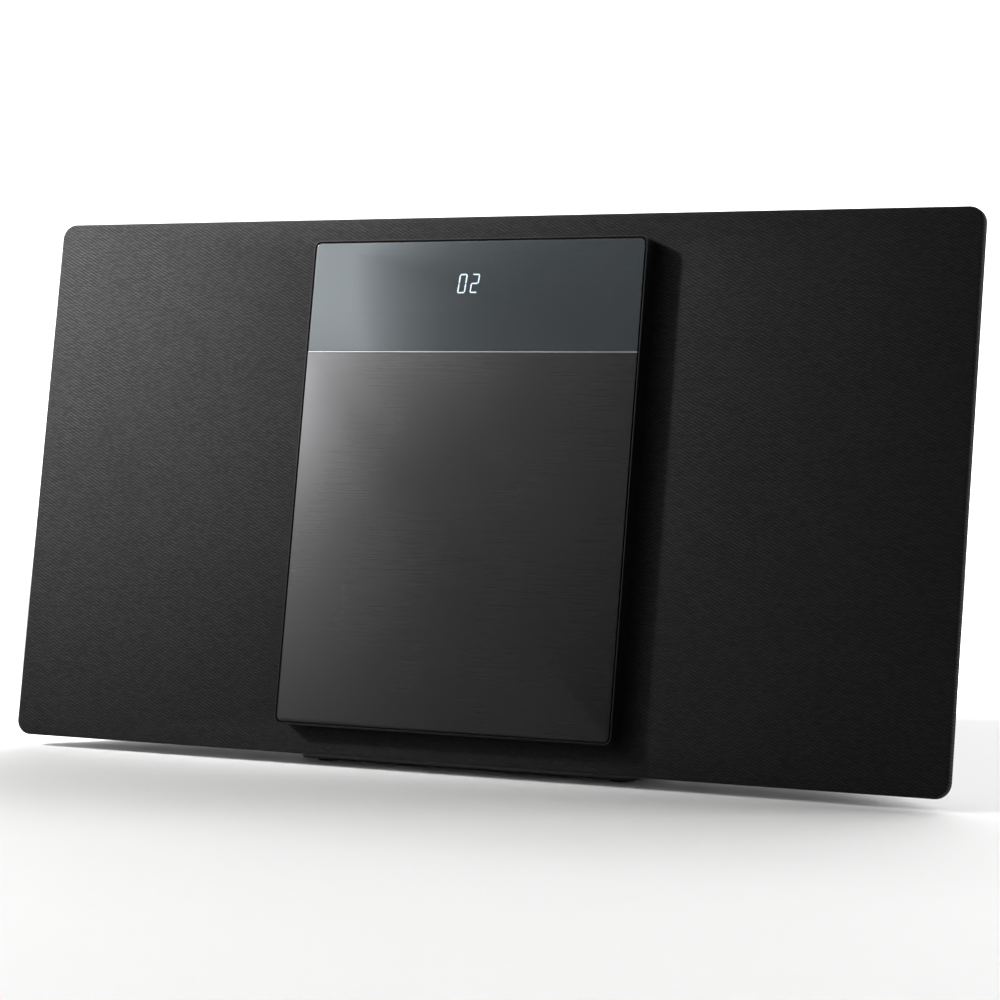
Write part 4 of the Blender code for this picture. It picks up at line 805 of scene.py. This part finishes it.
for side in ("left", "right"):
    low, high = local(f"stand_screw_{side}")
    at = (low + high) / 2
    head = screw_head(3.2 * MM, 2.0 * MM)
    shaft = turned([(1.5 * MM, low.y - high.y + 2 * MM), (1.5 * MM, 0.02 * MM)], 32)
    new_piece(
        f"stand_bolt_{side}", join_shapes(head, shaft), STEEL, "housing",
        TILT @ Matrix.Translation((at.x, high.y - 2 * MM, at.z)), stands_for=(f"stand_screw_{side}",),
    )

refined("stand_neck", "stand_upright", PAINT, 0.8 * MM)
refined("control_panel", "control_strip", BLACK, 0.25 * MM)
refined("power_inlet", "mains_inlet", GLOSSY_BLACK, 0.3 * MM)


# The deck behind the door


def on_axis(shape):
    """The shape, moved onto the disc's axis."""
    return shifted(shape, AXIS.x, 0, AXIS.z)


def from_axis(p):
    """How far a point in the leaning frame is from the disc's axis."""
    return math.hypot(p.x - AXIS.x, p.z - AXIS.z)


def flange_depths():
    """Front and back of the well's flange, from the vertices at its widest."""
    wide = local("disc_well")[1].x - 0.1 * MM
    depths = [p.y for p in leaning_points("disc_well") if p.x > wide]
    return min(depths), max(depths)


def make_surround():
    """The deck's front plate, with its round opening and the hole for the door's drive shaft."""
    bezel, well_back = local("deck_bezel"), local("disc_well")[1].y
    margin = 5 * MM
    opening = [(DISH_RADIUS, bezel[0].y - margin), (DISH_RADIUS, bezel[1].y + margin)]
    shaft_hole = [(SHAFT_HOLE, bezel[0].y - margin), (SHAFT_HOLE, well_back + margin)]
    tools = [on_axis(turned(opening, ROUND)), shifted(turned(shaft_hole, 32), SHAFT.x, 0, SHAFT.z)]
    shape = trimmed(plate(bezel, 2 * MM, 2 * MM, 0.3 * MM), tools, "bezel")
    piece = new_piece(
        "deck_surround", shape, DECK, "housing", stands_for=("deck_bezel",), degrees=32,
    )
    bevel(piece, 0.45 * MM, 3, 40)


def dish_shape():
    """The dish that the disc lies in, with two rings in its floor and the slot of the pickup."""
    skin, wall, bend, groove_depth, hub_hole = 1.4 * MM, 1.6 * MM, 1.8 * MM, 0.3 * MM, 10.8 * MM
    floor = DISH_BACK - skin
    front = local("deck_bezel")[1].y + 0.3 * MM
    profile = [(DISH_RADIUS, front), (DISH_RADIUS, floor - bend)]
    for angle in quarter(6, 1):
        inset, drop = round_over(bend, angle)
        profile.append((DISH_RADIUS - inset, floor - drop))
    for groove in (58 * MM, 24 * MM):
        for reach, depth in ((0, 0), (0.3 * MM, groove_depth), (0.9 * MM, groove_depth), (1.2 * MM, 0)):
            profile.append((groove - reach, floor + depth))
    outer = DISH_RADIUS + wall
    profile += [(hub_hole, floor), (hub_hole, DISH_BACK), (outer, DISH_BACK), (outer, front)]
    shape = on_axis(turned(profile, ROUND, closed=True))
    low, high = local("pickup_lens")
    travel = JOINTS["pickup_slide"]["range_m"][1]
    half, middle = (high.z - low.z) / 2 + 2 * MM, (low.x + high.x) / 2
    slot = block(
        (middle - half, middle + travel + half),
        (floor - skin, DISH_BACK + skin),
        (AXIS.z - half, AXIS.z + half),
    )
    return trimmed(shape, [slot], "dish"), DISH_RADIUS + wall * 0.5


def make_dish():
    """The dish with the flat flange round it, as one piece."""
    low, high = local("disc_well")
    shape, collar_radius = dish_shape()
    ends = (FLANGE[0] - 2 * MM, FLANGE[1] + 2 * MM)
    collar, shaft_hole = ([(radius, y) for y in ends] for radius in (collar_radius, SHAFT_HOLE))
    sheet = [rect_ring(low.x, high.x, low.z, high.z, 3 * MM, y) for y in FLANGE]
    tools = [on_axis(turned(collar, ROUND)), shifted(turned(shaft_hole, 32), SHAFT.x, 0, SHAFT.z)]
    shape = join_shapes(shape, trimmed(loft(sheet), tools, "flange"))
    new_piece("disc_dish", shape, DECK, "housing", stands_for=("disc_well",), degrees=28)


def make_hub():
    """The hub with three notches round its nose, and the rubber pad that grips the disc."""
    low, high = local("disc_hub")
    seat = low.y + 4 * MM
    radius, nose, hollow, bore, table = (high.x - low.x) / 2, 7.3 * MM, 2.2 * MM, 1.0 * MM, 1 * MM
    profile = rounded_profile([
        (hollow, low.y + 1.0 * MM), (hollow, low.y), (6.6 * MM, low.y + 0.2 * MM), (nose, low.y + 1.2 * MM),
        (nose, seat), (radius, seat), (radius, seat + table), (bore, seat + table), (bore, high.y),
    ], 0.3 * MM)
    notches = []
    for number in range(3):
        notch = block((5.3 * MM, 7.6 * MM), (low.y - 1 * MM, seat - 0.5 * MM), (-1 * MM, 1 * MM))
        turn = Matrix.Rotation(2 * math.pi * number / 3, 3, "Y")
        bmesh.ops.rotate(notch, verts=notch.verts, cent=(0, 0, 0), matrix=turn)
        notches.append(notch)
    shape = trimmed(turned(profile, 72), notches, "spindle")
    at = TILT @ Matrix.Translation((AXIS.x, 0, AXIS.z))
    new_piece("disc_clamp_hub", shape, DECK, "hub", at, stands_for=("disc_hub",), degrees=30)
    outer, inner, front, back = radius - 0.3 * MM, 7.6 * MM, seat - 0.15 * MM, seat + 0.1 * MM
    pad = [(outer, front), (outer, back), (inner, back), (inner, front)]
    new_piece("hub_pad", turned(pad, 72, closed=True), RUBBER, "hub", at)


def make_lens():
    """The domed lens of the pickup."""
    low, high = local("pickup_lens")
    middle, radius, rise = (low + high) / 2, (high.x - low.x) / 2, 0.6 * MM
    dome = [(0.05 * MM, low.y)]
    for angle in quarter(8, 1):
        dome.append((radius * 0.8 * math.sin(angle), low.y + rise * (1 - math.cos(angle))))
    dome += [(radius, low.y + rise), (radius, high.y)]
    at = TILT @ Matrix.Translation((middle.x, 0, middle.z))
    new_piece(
        "objective_lens", turned(dome, 48), LENS.material, "pickup", at,
        stands_for=("pickup_lens",),
    )


AXIS, SHAFT = middle_of("disc_hub"), middle_of("door_drive_gear")
ROUND = 144                 # segments of the dish and of the holes that it fills
SHAFT_HOLE = 1.8 * MM
FLANGE = flange_depths()
DISH_RADIUS = min(from_axis(p) for p in leaning_points("deck_bezel"))
DISH_BACK = max(p.y for p in leaning_points("disc_well") if from_axis(p) < DISH_RADIUS)
make_surround()
make_dish()
make_hub()
make_lens()
for node in ("door_rail_upper", "door_rail_lower"):
    refined(node, node.replace("door_rail", "guide_rail"), STEEL, 0)
for name in ("power", "source", "volume_down", "volume_up", "stop", "play", "door"):
    refined(f"button_{name}", f"key_{name}", GLOSSY_BLACK, 0.2 * MM, f"button_{name}", 25)

# The stand lies in the world's axes: its outlines are drawn in plan and stacked downward
PLAN = Matrix(((1, 0, 0, 0), (0, 0, 1, 0), (0, -1, 0, 0), (0, 0, 0, 1)))


def make_stand():
    """The stand's plate and its four rubber feet."""
    low, high = (Vector(side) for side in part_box("stand_base"))
    corner, edge = 4 * MM, 0.45 * MM
    rings = []
    rounds = [round_over(edge, angle) for angle in (0.0, 0.5, 1.0, math.pi / 2)]
    levels = [(drop, low.z + inset) for inset, drop in rounds]
    levels += [(inset, high.z - drop) for inset, drop in rounds]
    for inset, z in levels:
        box = (low.x + inset, high.x - inset, low.y + inset, high.y - inset)
        rings.append(rect_ring(*box, corner - inset, -z, 8))
    new_piece("stand_plate", loft(rings), PAINT, "housing", PLAN, stands_for=("stand_base",))
    for foot in ("front_left", "front_right", "rear_left", "rear_right"):
        low, high = (Vector(side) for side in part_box(f"foot_{foot}"))
        radius, height = (high.x - low.x) / 2, high.z - low.z
        profile = rounded_profile([
            (0.5 * MM, 0), (radius, 0), (radius, -height), (0.5 * MM, -height),
        ], 0.3 * MM)
        at = PLAN.copy()
        at.translation = ((low.x + high.x) / 2, (low.y + high.y) / 2, low.z)
        new_piece(
            f"pad_{foot}", turned(profile, 56), RUBBER, "housing", at, stands_for=(f"foot_{foot}",),
        )


make_stand()


# Stage, light and camera


def make_stage():
    """A pale sweep: floor, a rounded cove and a wall behind."""
    shape = bmesh.new()
    half, front, back, height, cove = 4.0, -4.0, 2.2, 3.5, 0.8
    profile = [(front, 0.0), (back - cove, 0.0)]
    for angle in quarter(16, 1):
        profile.append((back - cove + cove * math.sin(angle), cove - cove * math.cos(angle)))
    profile.append((back, height))
    rows = [[shape.verts.new((x, y, z)) for y, z in profile] for x in (-half, half)]
    for i in range(len(profile) - 1):
        shape.faces.new((rows[0][i], rows[1][i], rows[1][i + 1], rows[0][i + 1]))
    mesh = mesh_of("sweep", shape)
    mesh.shade_smooth()
    sweep = placed("sweep", mesh)
    sweep_look = Look("studio sweep")
    sweep_look.colour(sweep_look.mix(sweep_look.noise(40.0), (0.85, 0.85, 0.85), (0.86, 0.86, 0.86)))
    sweep_look.rough(sweep_look.ramp(sweep_look.noise(25.0), 0.3, 0.7, 0.8, 0.86))
    _, depth, _ = sweep_look.split()
    sweep_look.put(sweep_look.shader.inputs["Emission Color"], (1.0, 1.0, 1.0, 1.0))
    sweep_look.put(sweep_look.shader.inputs["Emission Strength"], sweep_look.ramp(depth, 0.5, 1.5, 0.0, 1.1))
    mesh.materials.append(sweep_look.material)


def soft_light(name, place, target, width, height, power):
    """A rectangular light panel out of view."""
    data = bpy.data.lights.new(name, "AREA")
    data.shape = "RECTANGLE"
    data.size = width
    data.size_y = height
    data.energy = power
    lamp = placed(name, data)
    lamp.visible_camera = False
    aimed(lamp, place, target)


def make_world(level):
    """Even white light from all round."""
    world = bpy.data.worlds.new("studio")
    world.use_nodes = True
    world.node_tree.nodes["Background"].inputs["Color"].default_value = (1.0, 1.0, 1.0, 1.0)
    world.node_tree.nodes["Background"].inputs["Strength"].default_value = level
    bpy.context.scene.world = world


def make_camera():
    """The camera fitted to the photo: the point it looks at, its direction, distance and lens."""
    azimuth, elevation, distance = math.radians(27.12), math.radians(2.98), 1.1327
    target = TILT.translation + Vector((23.65 * MM, 0, 101.19 * MM))
    level = math.cos(elevation)
    back = Vector((math.sin(azimuth) * level, -math.cos(azimuth) * level, math.sin(elevation)))
    data = bpy.data.cameras.new("photo camera")
    data.lens = 108.6
    data.sensor_width = 36.0
    camera = placed("photo camera", data)
    camera.location = target + back * distance
    camera.rotation_euler = (-back).to_track_quat("-Z", "Y").to_euler()
    bpy.context.scene.camera = camera


def make_softbox(place, target, width, height, start, rate, level, most):
    """A big diffuser out of view. Its light falls off from left to right along slanted lines, at a rate per
    metre from a start, and fades at its bottom and top."""
    shape = bmesh.new()
    columns, middle, lean = 24, 0.26, 0.3
    rows = [
        [shape.verts.new((width * (i / columns - 0.5), height * side, 0)) for i in range(columns + 1)]
        for side in (-0.5, 0.5)
    ]
    for i in range(columns):
        shape.faces.new((rows[0][i], rows[1][i], rows[1][i + 1], rows[0][i + 1]))
    mesh = mesh_of("softbox", shape)
    softbox = placed("softbox", mesh)
    aimed(softbox, place, target)
    glow = Look("diffuser")
    x, y, _ = glow.split()
    glow.colour(glow.mix(glow.noise(3.0), (0.9, 0.9, 0.9), (0.95, 0.95, 0.95)))
    glow.put(glow.shader.inputs["Emission Color"], (1.0, 0.99, 0.98, 1.0))
    slant = glow.math("SUBTRACT", x, glow.math("MULTIPLY", glow.math("SUBTRACT", y, middle), lean))
    fall = glow.math("POWER", math.e, glow.math("MULTIPLY", glow.math("SUBTRACT", slant, start), -rate))
    shade = glow.math("MINIMUM", glow.math("MULTIPLY", fall, level), most)
    low = glow.ramp(y, -height / 2, 0.1 * height)
    low.node.interpolation_type = "SMOOTHSTEP"
    high = glow.ramp(y, height / 2, 0.45 * height)
    high.node.interpolation_type = "SMOOTHSTEP"
    edges = glow.math("MULTIPLY", low, high)
    glow.put(glow.shader.inputs["Emission Strength"], glow.math("MULTIPLY", shade, edges))
    mesh.materials.append(glow.material)
    softbox.visible_camera = False


def spot(name, place, target, cone, power, radius):
    """A soft-edged spot light."""
    data = bpy.data.lights.new(name, "SPOT")
    data.energy = power
    data.spot_size = math.radians(cone)
    data.spot_blend = 1.0
    data.shadow_soft_size = radius
    aimed(placed(name, data), place, target)


make_stage()
make_world(0.02)
make_softbox(
    place=(-0.66, -1.02, 0.52), target=(-0.02, 0.0, 0.12), width=1.3, height=1.2,
    start=-0.012, rate=10.5, level=3.2, most=7.0,
)
soft_light("overhead", (0.0, 1.1, 2.2), (0, 0.1, 0.0), width=2.4, height=1.2, power=30)
soft_light("edge", (1.3, 0.45, 0.5), (0.2, 0.0, 0.1), width=0.5, height=0.9, power=12)
spot("key", (-0.95, -0.6, 0.75), (-0.33, -0.02, 0.34), cone=28, power=640, radius=0.1)
make_camera()
bpy.context.scene.view_settings.view_transform = "Standard"
bpy.context.scene.view_settings.look = "None"
